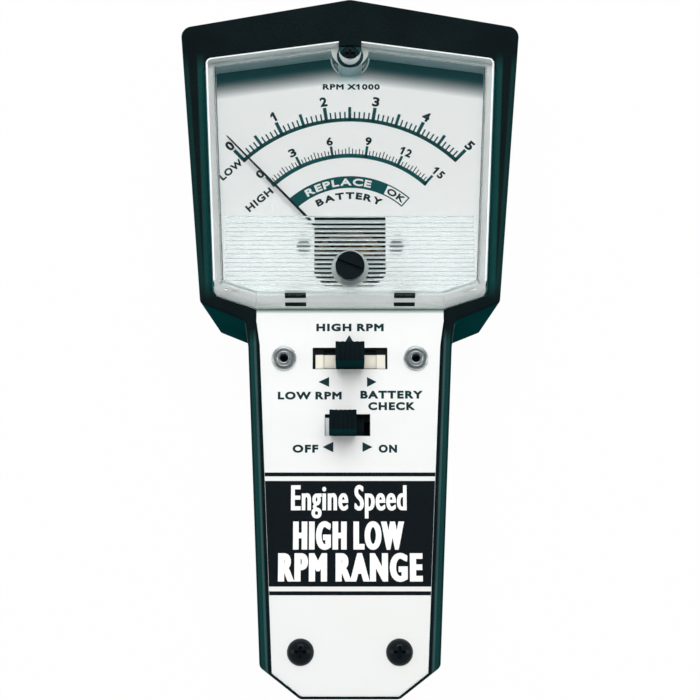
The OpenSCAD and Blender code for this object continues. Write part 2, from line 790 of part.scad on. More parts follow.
// Hairsprings: flat spiral bands that ring a collet of the staff with a small gap
spring_turns = 3;
spring_pitch = 0.75;
spring_band = 0.2;
spring_start_r = collet_r + rest_gap;
spring_end_r = spring_start_r + spring_pitch * spring_turns + spring_band;
spring_stud_w = 0.8;
upper_spring_turn = -55;

module at_pivot() {
    translate([0, pivot_y, 0]) children();
}
module at_zero() {
    at_pivot() rotate(zero_angle) children();
}
module pivot_bar(z, half_len, bore_r) {
    difference() {
        union() {
            block([2 * half_len, 4.4, bridge_t], [0, 0, z]);
            post(3, bridge_t, [0, 0, z]);
        }
        post(bore_r, bridge_t + 2, [0, 0, z - 1]);
        for (side = [-1, 1])
            post(pillar_pin_r + fit_gap, bridge_t + 2, [side * pillar_x, 0, z - 1]);
    }
}
module lower_bridge() {
    color("#b7babb") at_pivot() {
        difference() {
            post(yoke_r + yoke_t, bridge_t, [0, 0, bridge_seat_z]);
            post(jewel_r + fit_gap, bridge_t + 2, [0, 0, bridge_seat_z - 1]);
        }
        block([spring_stud_w, spring_stud_w, lower_spring_z + spring_h - yoke_z + eps],
            [spring_end_r + spring_stud_w / 2, 0, yoke_z - eps]);
    }
}
module upper_bridge() {
    color("#d5d8d6") at_pivot() pivot_bar(upper_bridge_z, yoke_r + yoke_t, jewel_r + fit_gap);
}
module bridge_pillars() {
    top_z = yoke_z + yoke_h;
    color("#c9a24a") at_pivot() for (side = [-1, 1]) {
        post(pillar_r, upper_bridge_z - top_z, [side * pillar_x, 0, top_z]);
        post(pillar_pin_r, bridge_t + 0.4, [side * pillar_x, 0, upper_bridge_z - eps]);
    }
}
module yoke_ring() {
    color("#7c8284") at_pivot() difference() {
        post(yoke_r + yoke_t, yoke_h, [0, 0, yoke_z]);
        post(yoke_r, yoke_h + 2, [0, 0, yoke_z - 1]);
    }
}
module core_magnet() {
    color("#4a4f52") at_pivot() post(core_r, core_h, [0, 0, core_z]);
}
module core_bars() {
    bar_r = 1;
    color("#c9a24a") at_pivot() difference() {
        intersection() {
            translate([0, yoke_r, core_z + core_h / 2]) rotate([90, 0, 0]) cylinder(r = bar_r, h = 2 * yoke_r);
            post(yoke_r, core_h, [0, 0, core_z]);
        }
        post(core_r, core_h + 2, [0, 0, core_z - 1]);
    }
}
module jewel(z, h, cup_z) {
    color("#c9a24a") at_pivot() difference() {
        post(jewel_r, h, [0, 0, z]);
        post(pin_w / 2 + fit_gap, cup_depth + 1, [0, 0, cup_z]);
    }
}
module lower_jewel() {
    jewel(lower_jewel_z, lower_jewel_h, lower_jewel_z + lower_jewel_h - cup_depth);
}
module upper_jewel() {
    jewel(upper_bridge_z, upper_jewel_h, upper_bridge_z - 1);
}

// Coil: a rectangular loop around the core, first the former and then the winding on it
module coil_loop(inner_r, inner_bottom, inner_top, t, w) {
    difference() {
        block([2 * (inner_r + t), w, inner_top - inner_bottom + 2 * t], [0, 0, inner_bottom - t]);
        block([2 * inner_r, w + 2, inner_top - inner_bottom], [0, 0, inner_bottom]);
    }
}
module coil_former() {
    color("#b9bdc0") at_zero()
        coil_loop(former_r, core_z - former_gap, core_z + core_h + former_gap, former_t, coil_w);
}
module coil_winding() {
    color("#b5652b") at_zero()
        coil_loop(former_r + former_t, core_z - former_gap - former_t,
            core_z + core_h + former_gap + former_t, winding_t, coil_w - 0.8);
}
module lower_staff() {
    pin_z = lower_jewel_z + lower_jewel_h - cup_depth + pin_end_gap;
    color("#8d9496") at_pivot() {
        post(staff_r, coil_bottom_z - lower_spring_z - spring_h + eps, [0, 0, lower_spring_z + spring_h - eps]);
        post(collet_r, spring_h, [0, 0, lower_spring_z]);
        post(pin_w / 2, lower_spring_z - pin_z + eps, [0, 0, pin_z]);
    }
}
module upper_staff() {
    pin_top_z = upper_bridge_z + cup_depth - pin_end_gap;
    color("#8d9496") at_pivot() {
        post(staff_r, hub_z - coil_top_z, [0, 0, coil_top_z]);
        post(pin_w / 2, pin_top_z - hub_z + eps, [0, 0, hub_z - eps]);
        post(collet_r, spring_h, [0, 0, upper_spring_z]);
    }
}

// Pointer: a hub, a raised crank through the window and a long tapered arm over the dial
arm_z = dial_top_z + 1.5;
arm_t = 0.4;
crank_near = 5;
crank_far = 9.5;
counter_x = 5;
counter_drop = 5.6;
module pointer() {
    hub_r = 1.8;
    tip_w = 0.5;
    tail_w = 1.2;
    side_arm_w = 0.8;
    overlap = 0.3;
    color("#1d2b2b") at_zero() difference() {
        union() {
            post(hub_r, hub_t, [0, 0, hub_z]);
            translate([0, 0, hub_z]) linear_extrude(arm_root_t) polygon([
                [-pointer_w / 2, crank_near + overlap], [pointer_w / 2, crank_near + overlap],
                [tail_w / 2, -counter_drop - 1], [-tail_w / 2, -counter_drop - 1]
            ]);
            translate([-pointer_w / 2, 0, 0]) rotate([90, 0, 90]) linear_extrude(pointer_w) polygon([
                [crank_near, hub_z], [crank_near, hub_z + arm_root_t],
                [crank_far, arm_z + arm_t], [crank_far + 0.5, arm_z + arm_t],
                [crank_far + 0.5, arm_z]
            ]);
            translate([0, 0, arm_z]) linear_extrude(arm_t) polygon([
                [-pointer_w / 2, crank_far], [-tip_w / 2, pointer_len], [tip_w / 2, pointer_len],
                [pointer_w / 2, crank_far]
            ]);
            block([2 * (counter_x + 0.5), side_arm_w, arm_root_t], [0, 0, hub_z]);
        }
        post(pin_w / 2 + fit_gap, hub_t + 2, [0, 0, hub_z - 1]);
    }
}
module counterweights() {
    nut_r = 1.1;
    nut_t = 0.5;
    color("#c9a24a") at_zero() for (place = [[-counter_x, 0], [counter_x, 0], [0, -counter_drop]])
        post(nut_r, nut_t, [place.x, place.y, hub_z + arm_root_t]);
}

module hairspring(z) {
    steps = spring_turns * 20;
    reach = function (k) spring_start_r + spring_pitch * spring_turns * k / steps;
    spot = function (k, r) r * [cos(k * 360 / 20), sin(k * 360 / 20)];
    translate([0, 0, z]) linear_extrude(spring_h) polygon(concat(
        [for (k = [0 : steps]) spot(k, reach(k))],
        [for (k = [steps : -1 : 0]) spot(k, reach(k) + spring_band)]
    ));
}
module lower_hairspring() {
    color("#c78d3c") at_pivot() hairspring(lower_spring_z);
}
module upper_hairspring() {
    color("#c78d3c") at_pivot() rotate(upper_spring_turn) hairspring(upper_spring_z);
}

// Zero lever: a ring around the upper jewel with a fork for the pin of the zero screw
// and an arm whose tail holds the outer end of the upper hairspring
zero_pin_r = 0.5;
module zero_lever() {
    lever_r = 2.6;
    fork_w = 3.2;
    fork_len = zero_screw_drop + zero_pin_offset + 1;
    fork_slot = 2.4;
    tail_x = spring_end_r + spring_stud_w / 2;
    color("#d9c27a") at_pivot() {
        difference() {
            union() {
                post(lever_r, lever_t, [0, 0, lever_z]);
                block([fork_w, fork_len, lever_t], [0, -fork_len / 2, lever_z]);
                rotate(upper_spring_turn)
                    block([tail_x + spring_stud_w / 2, 1.2, lever_t], [tail_x / 2 + spring_stud_w / 4, 0, lever_z]);
            }
            post(jewel_r + fit_gap, lever_t + 2, [0, 0, lever_z - 1]);
            block([2 * zero_pin_r + 0.2, fork_slot, lever_t + 2],
                [0, -zero_screw_drop - zero_pin_offset - 0.3, lever_z - 1]);
        }
        rotate(upper_spring_turn)
            block([spring_stud_w, spring_stud_w, lever_z - upper_spring_z + eps], [tail_x, 0, upper_spring_z]);
    }
}

// Zero screw: slotted head over the lens, neck in the lens, collar under it and an offset pin
zero_boss_h = 1.2;
zero_collar_h = 0.8;
zero_slot_turn = -21;
module zero_screw() {
    neck_bottom = lens_inner_z - zero_boss_h - 0.1;
    pin_bottom = lever_z - 0.2;
    color("#111415") translate([0, zero_screw_y, 0]) {
        difference() {
            union() {
                post(zero_head_w / 2, zero_head_h - 0.05, [0, 0, lens_front_z + 0.05]);
                post(zero_neck_w / 2, lens_front_z - neck_bottom + 0.1, [0, 0, neck_bottom]);
            }
            translate([0, 0, lens_front_z + zero_head_h - 0.8]) rotate(zero_slot_turn)
                block([zero_head_w + 1, 1.1, 2], [0, 0, 0]);
        }
        post(zero_neck_w / 2 + 0.5, zero_collar_h, [0, 0, neck_bottom - zero_collar_h + eps]);
        post(zero_pin_r, neck_bottom - zero_collar_h - pin_bottom + 2 * eps, [0, -zero_pin_offset, pin_bottom]);
    }
}

// Slide switches: a metal frame, an insulating base with terminals, and a knob whose
// sliding block carries two contacts
frame_t = 0.8;
frame_wall = 0.6;
base_t = 1;
terminal_w = 1.2;
terminal_t = 0.5;
slider_h = 3;
slider_gap = 0.4;
row_gap = 6;
base_z = plate_z - frame_t - switch_depth - base_t + frame_wall;
board_top_z = base_z - board_gap;
board_z = board_top_z - board_t;
module switch_frame(body_w, slot_w, flange_w, flange_h, top_z) {
    difference() {
        union() {
            block([flange_w, flange_h, frame_t], [0, 0, top_z - frame_t]);
            block([body_w, switch_h, top_z - base_z - base_t], [0, 0, base_z + base_t]);
        }
        block([body_w - 2 * frame_wall, switch_h - 2 * frame_wall, top_z - base_z - base_t - frame_t + 1],
            [0, 0, base_z + base_t - 1]);
        block([slot_w, slot_h - 0.6, 4], [0, 0, top_z - 2]);
    }
}
module switch_base(body_w) {
    block([body_w, switch_h, base_t], [0, 0, base_z]);
}
module lug_rows(count, pitch) {
    for (side = [-1, 1]) for (i = [0 : count - 1])
        translate([(i - (count - 1) / 2) * pitch, side * row_gap / 2, 0]) children();
}
module lug() {
    block([terminal_w, terminal_t, base_z - board_z + 1], [0, 0, board_z - 1]);
}
slider_top_z = plate_z - frame_t - slider_gap;
rib_w = 0.5;
module knob_cap(knob_w, foot_z) {
    top_z = plate_top_z + knob_rise;
    difference() {
        block([knob_w, knob_h, top_z - foot_z], [0, 0, foot_z]);
        for (i = [-2 : 2])
            translate([i * knob_w / 6, 0, top_z]) rotate([90, 45, 0])
                translate([-rib_w / 2, -rib_w / 2, -knob_h]) cube([rib_w, rib_w, 2 * knob_h]);
    }
}
module slider_block(slider_w) {
    block([slider_w, switch_h - 2 * frame_wall - 0.6, slider_h], [0, 0, slider_top_z - slider_h]);
}
module contact_pair(spread, drop) {
    z = base_z + base_t + rest_gap;
    top = plate_z - frame_t - slider_gap - slider_h - drop;
    for (side = [-1, 1])
        block([spread, 1.6, top - z], [0, side * row_gap / 2, z]);
}

range_pitch = 5;
range_lugs = 4;
range_carrier_w = 16;
carrier_post = [3.2, 2.2, 3];
rivet_margin = 3.8;
module at_range() {
    translate([0, range_y, 0]) children();
}
module range_frame() {
    frame_slot_w = range_knob_w + 2 * range_travel + 0.4;
    color("#c5ccca") at_range() difference() {
        switch_frame(range_body_w, frame_slot_w, rivet_pitch + 2 * rivet_margin, switch_h, plate_z);
        for (side = [-1, 1])
            post(rivet_shank_r + fit_gap, 4, [side * rivet_pitch / 2, 0, plate_z - 2]);
    }
}
module range_base() {
    color("#c8a86a") at_range() difference() {
        switch_base(range_body_w);
        lug_rows(range_lugs, range_pitch)
            block([terminal_w + 0.1, terminal_t + 0.1, base_t + 2], [0, 0, base_z - 1]);
    }
}
module range_terminals() {
    color("#d6d0b8") at_range() lug_rows(range_lugs, range_pitch) {
        lug();
        block([terminal_w + 1.4, 1.6, 0.2], [0, 0, base_z + base_t]);
        block([terminal_w, terminal_t, base_t + 0.1], [0, 0, base_z - eps]);
    }
}
module range_knob() {
    color("#131718") at_range() difference() {
        knob_cap(range_knob_w, slider_top_z);
        block([carrier_post.x + 2 * fit_gap, carrier_post.y + 2 * fit_gap, carrier_post.z + 1],
            [0, 0, slider_top_z + fit_gap - 1]);
    }
}
module range_carrier() {
    color("#e4e0d0") at_range() {
        slider_block(range_carrier_w);
        block([carrier_post.x, carrier_post.y, carrier_post.z], [0, 0, slider_top_z - eps]);
    }
}
module range_contacts() {
    color("#c98a4a") at_range() contact_pair(6, 0);
}

power_pitch = 4.2;
power_lugs = 3;
power_slider_w = 11;
power_mid_x = power_knob_x + power_travel / 2;
module at_power() {
    translate([power_mid_x, power_y, 0]) children();
}
module power_frame() {
    frame_slot_w = power_knob_w + power_travel + 0.4;
    color("#c5ccca") at_power()
        switch_frame(power_body_w, frame_slot_w, power_body_w, switch_h, plate_z - rest_gap);
}
module power_base() {
    color("#c8a86a") at_power() difference() {
        switch_base(power_body_w);
        lug_rows(power_lugs, power_pitch)
            block([terminal_w + 0.1, terminal_t + 0.1, base_t + 2], [0, 0, base_z - 1]);
    }
}
module power_terminals() {
    color("#d6d0b8") at_power() lug_rows(power_lugs, power_pitch) {
        lug();
        block([terminal_w + 1.2, 1.6, 0.2], [0, 0, base_z + base_t]);
        block([terminal_w, terminal_t, base_t + 0.1], [0, 0, base_z - eps]);
    }
}
module power_knob() {
    color("#131718") translate([-power_travel / 2, 0, -rest_gap]) at_power() {
        knob_cap(power_knob_w, slider_top_z - eps);
        slider_block(power_slider_w);
    }
}
module power_contacts() {
    color("#c98a4a") translate([-power_travel / 2, 0, 0]) at_power() contact_pair(5, rest_gap);
}

// Circuit board under the switches, carried by their terminals
board_head_y = neck_y - 1.5;
board_foot_y = power_y - switch_h / 2 - 0.8;
strip_y = (range_y + power_y) / 2;
module circuit_board() {
    color("#3f6a3a") difference() {
        block([board_w, board_head_y - board_foot_y, board_t],
            [0, (board_head_y + board_foot_y) / 2, board_z]);
        at_range() lug_rows(range_lugs, range_pitch) post(0.8, board_t + 2, [0, 0, board_z - 1]);
        at_power() lug_rows(power_lugs, power_pitch) post(0.8, board_t + 2, [0, 0, board_z - 1]);
    }
}
module solder_cone() {
    difference() {
        translate([0, 0, board_z - 0.8]) cylinder(r1 = 0.9, r2 = 1.3, h = 0.8);
        block([terminal_w, terminal_t, 3], [0, 0, board_z - 2]);
    }
}
module solder_joints() {
    color("#c2c8ca") {
        at_range() lug_rows(range_lugs, range_pitch) solder_cone();
        at_power() lug_rows(power_lugs, power_pitch) solder_cone();
    }
}
chip_w = 6.4;
chip_t = 3.2;
chip_gap = 0.4;
chip_pin_pitch = 2.54;
chip_pin_w = 0.5;
chip_pin_t = 0.4;
long_chip_len = 18.6;
short_chip_len = 9.6;
chip_spacing = 17;
chip_reach = chip_w / 2 + chip_pin_t;
module chip(len, x) {
    pins = floor(len / chip_pin_pitch);
    pin_h = chip_t / 2 + chip_gap;
    block([len, chip_w, chip_t], [x, strip_y, board_z - chip_t - chip_gap]);
    for (side = [-1, 1]) for (i = [0 : pins - 1])
        block([chip_pin_w, chip_pin_t, pin_h],
            [x + (i - (pins - 1) / 2) * chip_pin_pitch, strip_y + side * (chip_w + chip_pin_t) / 2, board_z - pin_h]);
}
module logic_chips() {
    color("#202224") {
        chip(long_chip_len, -7);
        chip(short_chip_len, chip_spacing - 7);
    }
}
wire_r = 0.3;
wire_lift = 0.3;
module axial_part(body_len, body_r, span) {
    lift = body_r + wire_lift;
    translate([-body_len / 2, 0, board_top_z + lift]) rotate([0, 90, 0]) cylinder(r = body_r, h = body_len);
    for (side = [-1, 1]) {
        post(wire_r, lift + wire_r, [side * span / 2, 0, board_top_z]);
        translate([side > 0 ? body_len / 2 - eps : -span / 2 - wire_r, 0, board_top_z + lift]) rotate([0, 90, 0])
            cylinder(r = wire_r, h = (span - body_len) / 2 + wire_r + eps);
    }
}
resistor_len = 5.6;
resistor_r = 1.1;
resistor_span = 7.4;
resistor_pitch = 9.4;
module resistors() {
    color("#c9a980") for (i = [-1.5 : 1.5])
        translate([i * resistor_pitch, strip_y, 0]) axial_part(resistor_len, resistor_r, resistor_span);
}
diode_len = 4;
diode_r = 0.9;
diode_span = 6.6;
diode_inset = 4.2;
diode_rise = 2;
module diodes() {
    color("#a4452a") for (side = [-1, 1])
        translate([side * (board_w / 2 - diode_inset), power_y + diode_rise, 0]) rotate(90)
            axial_part(diode_len, diode_r, diode_span);
}
film_size = [6.6, 4, 8];
film_inset = 4.4;
film_pitch = 5.4;
module film_capacitors() {
    color("#b98a32") for (side = [-1, 1])
        block(film_size, [film_inset - board_w / 2, range_y + side * film_pitch / 2, board_z - film_size.z]);
}
sleeve_r = 3;
sleeve_h = 11;
sleeve_inset = 5.1;
sleeve_pitch = 6.6;
sleeve_rise = 1.4;
module electrolytic_capacitors() {
    color("#27415f") for (side = [-1, 1])
        post(sleeve_r, sleeve_h, [board_w / 2 - sleeve_inset,
            range_y + sleeve_rise + side * sleeve_pitch / 2, board_z - sleeve_h]);
}
trimmer_size = [6, 6, 4.6];
trimmer_inset = 3.4;
trimmer_slot = [3.4, 0.7, 0.6];
module trimmers() {
    color("#2d62a8") for (side = [-1, 1])
        translate([side * (board_w / 2 - trimmer_inset), range_y, board_top_z]) difference() {
            block(trimmer_size, [0, 0, 0]);
            block([trimmer_slot.x, trimmer_slot.y, 2 * trimmer_slot.z], [0, 0, trimmer_size.z - trimmer_slot.z]);
        }
}
transistor_r = 2.3;
transistor_h = 4.6;
transistor_flat = 1.3;
transistor_inset = 4.6;
transistor_drop = 5.2;
module transistor() {
    color("#1d1f21") translate([board_w / 2 - transistor_inset, power_y - transistor_drop, board_top_z]) difference() {
        post(transistor_r, transistor_h, [0, 0, 0]);
        block([3 * transistor_r, transistor_r, transistor_h + 2], [0, -transistor_flat - transistor_r / 2, -1]);
    }
}

// Pickup: a ferrite rod across the head with a winding around its middle
module pickup_rod() {
    color("#3a3d3f") translate([-pickup_len / 2, pickup_y, pickup_z]) rotate([0, 90, 0])
        cylinder(r = pickup_r, h = pickup_len);
}
module pickup_winding() {
    color("#b5652b") translate([-pickup_coil_len / 2, pickup_y, pickup_z]) rotate([0, 90, 0]) difference() {
        cylinder(r = pickup_coil_r, h = pickup_coil_len);
        translate([0, 0, -1]) cylinder(r = pickup_r + fit_gap, h = pickup_coil_len + 2);
    }
}

// Battery with its studs towards the head, the snap clip on them and a foam block over it
stud_h = 2.8;
stud_r = 2.9;
crown_r = 3.9;
clip_board_gap = 5;
clip_back_y = strip_y - chip_reach - clip_board_gap;
clip_y = clip_back_y - clip_t;
battery_top_y = clip_y - rest_gap;
battery_len = battery_top_y - battery_y;
stud_z = battery_z + battery_t / 2;
module battery_can() {
    color("#c7a23a") block([battery_w, battery_len, battery_t],
        [0, battery_y + battery_len / 2, battery_z]);
}
module at_stud(side, y) {
    translate([side * stud_pitch / 2, y, stud_z]) rotate([-90, 0, 0]) children();
}
module battery_studs() {
    color("#c8cccd") {
        at_stud(-1, battery_top_y) cylinder(r = stud_r, h = stud_h);
        at_stud(1, battery_top_y) difference() {
            cylinder(r = crown_r, h = stud_h);
            translate([0, 0, 0.8]) cylinder(r = stud_r + fit_gap, h = stud_h);
        }
    }
}
module battery_clip() {
    clip_h = battery_t - 1;
    color("#1c1c1e") {
        difference() {
            block([battery_w - 0.6, clip_t, clip_h], [0, clip_y + clip_t / 2, stud_z - clip_h / 2]);
            at_stud(-1, clip_y - 1) cylinder(r = stud_r + fit_gap, h = stud_h + 1);
            at_stud(1, clip_y - 1) cylinder(r = crown_r + fit_gap, h = stud_h + 1);
        }
        at_stud(1, clip_y + 0.8) cylinder(r = stud_r, h = stud_h - 0.8 + eps);
    }
}
module battery_foam() {
    foam_z = battery_z + battery_t + rest_gap;
    foam_len = battery_len * 0.74;
    color("#6b6e70") block([battery_w * 0.85, foam_len, plate_z - rest_gap - foam_z],
        [0, battery_y + foam_len / 2, foam_z]);
}

// Leads inside the case, each along its own route
lead_r = 0.7;
thin_lead_r = 0.5;
lead_pad_inset = 2.6;
lead_end_gap = 0.1;
lead_exit_x = 5;
module battery_lead() {
    pad = [board_w / 2 - lead_pad_inset, power_y + diode_rise * 1.8, board_z - lead_end_gap];
    tube([
        [lead_exit_x, clip_back_y + lead_end_gap, stud_z],
        [lead_exit_x, clip_back_y + 1.6, stud_z],
        [lead_exit_x + 3, pad.y, stud_z + 1],
        [pad.x - 2.4, pad.y, stud_z + 4],
        [pad.x, pad.y, pad.z - 3],
        pad
    ], lead_r, [0.9, 0.3, -0.4]);
}
module red_lead() {
    color("#b3262a") mirror([1, 0, 0]) battery_lead();
}
module black_lead() {
    color("#1b1b1d") battery_lead();
}
head_pad_y = board_head_y - 1.4;
module meter_lead(side) {
    end_z = tray_z - terminal_out;
    x = side * terminal_x;
    stud_y = pivot_y - terminal_drop;
    tube([
        [x, stud_y - terminal_r - lead_end_gap, end_z + 0.9],
        [x, stud_y - terminal_r - 2, end_z + 0.9],
        [x * 0.8, (stud_y + head_pad_y) / 2 - 2.2, end_z + 1.6],
        [x * 0.6, head_pad_y, board_z - 5],
        [x * 0.6, head_pad_y, board_z - lead_end_gap]
    ], thin_lead_r, [1, 0, 0]);
}
module left_meter_lead() {
    color("#2d5fa0") meter_lead(-1);
}
module right_meter_lead() {
    color("#c8a32e") meter_lead(1);
}
module pickup_lead() {
    start = [pickup_coil_len / 2 - 3, pickup_y - pickup_coil_r - lead_end_gap, pickup_z];
    pad = [board_w / 2 - 1.6, head_pad_y, board_z - lead_end_gap];
    beside_x = tray_w / 2 + 4;
    low_z = tray_z - 1;
    tube([
        start,
        [start.x + 0.4, start.y - 2.4, start.z],
        [start.x + 7, notch_y - 10, low_z + 2],
        [beside_x, pivot_y + tray_up * 2.3, low_z],
        [beside_x, pivot_y + tray_up * 0.6, low_z],
        [beside_x, pivot_y - tray_down + 1.2, low_z + 1],
        [pad.x + 1, pad.y + 1.2, low_z + 9],
        [pad.x, pad.y, pad.z - 2],
        pad
    ], thin_lead_r, [1, 0.3, 0.1]);
}
module left_pickup_lead() {
    color("#5a8a4a") mirror([1, 0, 0]) pickup_lead();
}
module right_pickup_lead() {
    color("#d8d8d2") pickup_lead();
}

case_shell();
front_plate();
plate_screws();
rivets();
meter_lens();
meter_base();
top_screw();
dial_plate();
dial_screws();
meter_terminals();
lower_bridge();
upper_bridge();
bridge_pillars();
yoke_ring();
core_magnet();
core_bars();
lower_jewel();
upper_jewel();
coil_former();
coil_winding();
lower_staff();
upper_staff();
pointer();
counterweights();
lower_hairspring();
upper_hairspring();
zero_lever();
zero_screw();
range_frame();
range_base();
range_terminals();
range_knob();
range_carrier();
range_contacts();
power_frame();
power_base();
power_terminals();
power_knob();
power_contacts();
circuit_board();
solder_joints();
logic_chips();
resistors();
diodes();
film_capacitors();
electrolytic_capacitors();
trimmers();
transistor();
pickup_rod();
pickup_winding();
battery_can();
battery_studs();
battery_clip();
battery_foam();
red_lead();
black_lead();
left_meter_lead();
right_meter_lead();
left_pickup_lead();
right_pickup_lead();
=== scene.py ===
import json
import math

import bmesh
import bpy
from mathutils import Matrix, Vector
from mathutils.geometry import delaunay_2d_cdt, interpolate_bezier


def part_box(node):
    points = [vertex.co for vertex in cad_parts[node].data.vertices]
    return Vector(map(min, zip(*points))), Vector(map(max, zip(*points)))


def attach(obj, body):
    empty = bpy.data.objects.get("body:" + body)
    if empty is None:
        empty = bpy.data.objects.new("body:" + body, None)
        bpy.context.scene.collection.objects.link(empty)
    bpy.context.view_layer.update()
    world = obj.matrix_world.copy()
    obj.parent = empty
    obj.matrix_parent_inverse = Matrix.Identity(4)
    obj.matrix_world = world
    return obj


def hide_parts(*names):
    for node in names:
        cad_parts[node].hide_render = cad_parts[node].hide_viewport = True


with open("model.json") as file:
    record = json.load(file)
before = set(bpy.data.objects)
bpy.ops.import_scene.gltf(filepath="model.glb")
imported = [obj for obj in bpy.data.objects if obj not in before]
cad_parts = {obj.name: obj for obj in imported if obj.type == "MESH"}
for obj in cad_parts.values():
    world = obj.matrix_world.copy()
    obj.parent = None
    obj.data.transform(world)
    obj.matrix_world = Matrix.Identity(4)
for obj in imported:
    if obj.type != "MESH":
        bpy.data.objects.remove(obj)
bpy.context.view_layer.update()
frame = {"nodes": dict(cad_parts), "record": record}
cadNodes = frame["nodes"]
mm = 0.001
print("frame loaded:", len(cadNodes), "nodes")


# Levels and places of the tachometer in millimetres, the same as its solids have
level = {
    "face": 34.0, "plateTop": 33.4, "plate": 32.4, "ledge": 30.4, "dialTop": 31.5, "dial": 31.0,
    "seat": 29.0, "lensFront": 39.5, "lensInner": 37.5,
}
place = {
    "foot": -95.0, "lensApex": 81.0, "lensFoot": 6.5, "notch": 78.0, "pivot": 19.6, "rod": 85.0,
    "zeroScrew": 16.4, "range": -7.05, "power": -24.9, "plateScrew": -83.3, "plateHead": 6.2,
}


# Shader kit: a wire is one output, and arithmetic on it adds the node that does the sum
class Wire:
    operations = {"+": "ADD", "-": "SUBTRACT", "*": "MULTIPLY"}

    def __init__(self, finish, socket):
        self.finish = finish
        self.socket = socket

    def kind(self):
        return {"RGBA": "colour", "VECTOR": "vector"}.get(self.socket.type, "number")

    def combine(self, sign, first, second):
        kinds = {part.kind() for part in (first, second) if isinstance(part, Wire)}
        operation = self.operations[sign]
        if "colour" in kinds:
            settings = {"data_type": "RGBA", "blend_type": operation}
            return self.finish.add("Mix", settings, {0: 1.0, 6: first, 7: second}, 2)
        if "vector" in kinds:
            return self.finish.add("VectorMath", {"operation": operation}, {0: first, 1: second})
        return self.finish.add("Math", {"operation": operation}, {0: first, 1: second})

    def __add__(self, other):
        return self.combine("+", self, other)

    def __radd__(self, other):
        return self.combine("+", other, self)

    def __sub__(self, other):
        return self.combine("-", self, other)

    def __rsub__(self, other):
        return self.combine("-", other, self)

    def __mul__(self, other):
        return self.combine("*", self, other)

    def __rmul__(self, other):
        return self.combine("*", other, self)


class NodeTree:
    def __init__(self, tree):
        self.tree = tree
        self.tree.nodes.clear()

    def add(self, kind, settings=None, sockets=None, out=0):
        node = self.tree.nodes.new("ShaderNode" + kind)
        for key, value in (settings or {}).items():
            setattr(node, key, value)
        for key, value in (sockets or {}).items():
            socket = node.inputs[key]
            if isinstance(value, Wire):
                self.tree.links.new(value.socket, socket)
            elif socket.type == "RGBA" and len(value) == 3:
                socket.default_value = (*value, 1)
            else:
                socket.default_value = value
        return Wire(self, node.outputs[out]) if node.outputs else None

    def span(self, value, low, high):  # 0 below low, 1 above high
        return self.add("MapRange", {"clamp": True}, {0: value, 1: low, 2: high})


class Finish(NodeTree):
    def __init__(self, name):
        self.material = bpy.data.materials.new(name)
        self.material.use_nodes = True
        super().__init__(self.material.node_tree)
        self.at = self.add("TexCoord", out="Object")

    def noise(self, size, detail, at=None):  # size of a cell in millimetres
        return self.add("TexNoise", {}, {
            "Vector": at or self.at, "Scale": 1 / (size * mm), "Detail": detail, "Roughness": 0.55,
        })

    def cells(self, size, at=None, out="Distance"):
        return self.add("TexVoronoi", {}, {"Vector": at or self.at, "Scale": 1 / (size * mm)}, out)

    def blend(self, share, tone, other):
        return self.add("Mix", {"data_type": "RGBA"}, {0: share, 6: tone, 7: other}, 2)

    def length(self, vector):
        return self.add("VectorMath", {"operation": "LENGTH"}, {0: vector}, "Value")

    def along(self, direction, at=None):
        return self.add("VectorMath", {"operation": "DOT_PRODUCT"}, {0: at or self.at, 1: direction}, "Value")

    def size(self, value):
        return self.add("Math", {"operation": "ABSOLUTE"}, {0: value})

    def strip(self, value, middle, half, fade):  # 1 within half of the middle, in millimetres
        return 1 - self.span(self.size(value - middle * mm), half * mm, (half + fade) * mm)

    def ripple(self, distance, pitch):  # 0 to 1 and back over each pitch in millimetres
        wave = self.add("Math", {"operation": "SINE"}, {0: distance * (2 * math.pi / (pitch * mm))})
        return wave * 0.5 + 0.5

    def relief(self, height, depth):  # depth in millimetres
        return self.add("Bump", {}, {"Height": height, "Distance": depth * mm, "Strength": 1.0})

    def close(self, shader):
        self.add("OutputMaterial", {}, {"Surface": shader})
        return self.material

    def surface(self, sockets):
        return self.close(self.add("BsdfPrincipled", {}, sockets))

    def passLight(self, body, tone):  # the lamps' light passes the body and takes the tone
        shade = self.add("BsdfTransparent", {}, {"Color": tone})
        ray = self.add("LightPath", out="Is Shadow Ray")
        return self.close(self.add("MixShader", {}, {0: ray, 1: body, 2: shade}))


dustTone = (0.32, 0.31, 0.28)
bloomTone = (0.01, 0.72, 0.82, 1)
bloomRough = 0.35
plating = (0.6, 0.66, 0.66)
creamTone = (0.78, 0.76, 0.66)
laminateTone = (0.42, 0.28, 0.12)
slotShadeTone = (0.0035, 0.007, 0.008)
lensFootShadowTone = (0.05, 0.12, 0.1)
switchSlots = {  # middle, half width and half height
    "range": (0, place["range"], 9.95, 2.95), "power": (-0.65, place["power"], 6.0, 2.95),
}


# Moulded plastic: a fine eroded grain, faint flow clouds and a little dust in the hollows
def mouldedPlastic(name, tone, cloudTone, rough=0.4, grain=0.45, depth=0.02, specular=0.5, dust=0.1,
                   bloom=0.0):
    finish = Finish(name)
    cloud = finish.noise(17, 3)
    fine = finish.noise(grain, 2)
    settled = finish.span(finish.noise(3.1, 4), 0.6, 0.85)
    colour = finish.blend(finish.span(cloud, 0.3, 0.7), tone, cloudTone)
    return finish.surface({
        "Base Color": finish.blend(settled * dust, colour, dustTone),
        "Roughness": rough + (cloud - 0.5) * 0.1 + (fine - 0.5) * 0.12 + settled * 0.06,
        "Specular IOR Level": specular,
        "Sheen Weight": bloom,
        "Sheen Roughness": bloomRough,
        "Sheen Tint": bloomTone,
        "Normal": finish.relief(fine, depth),
    })
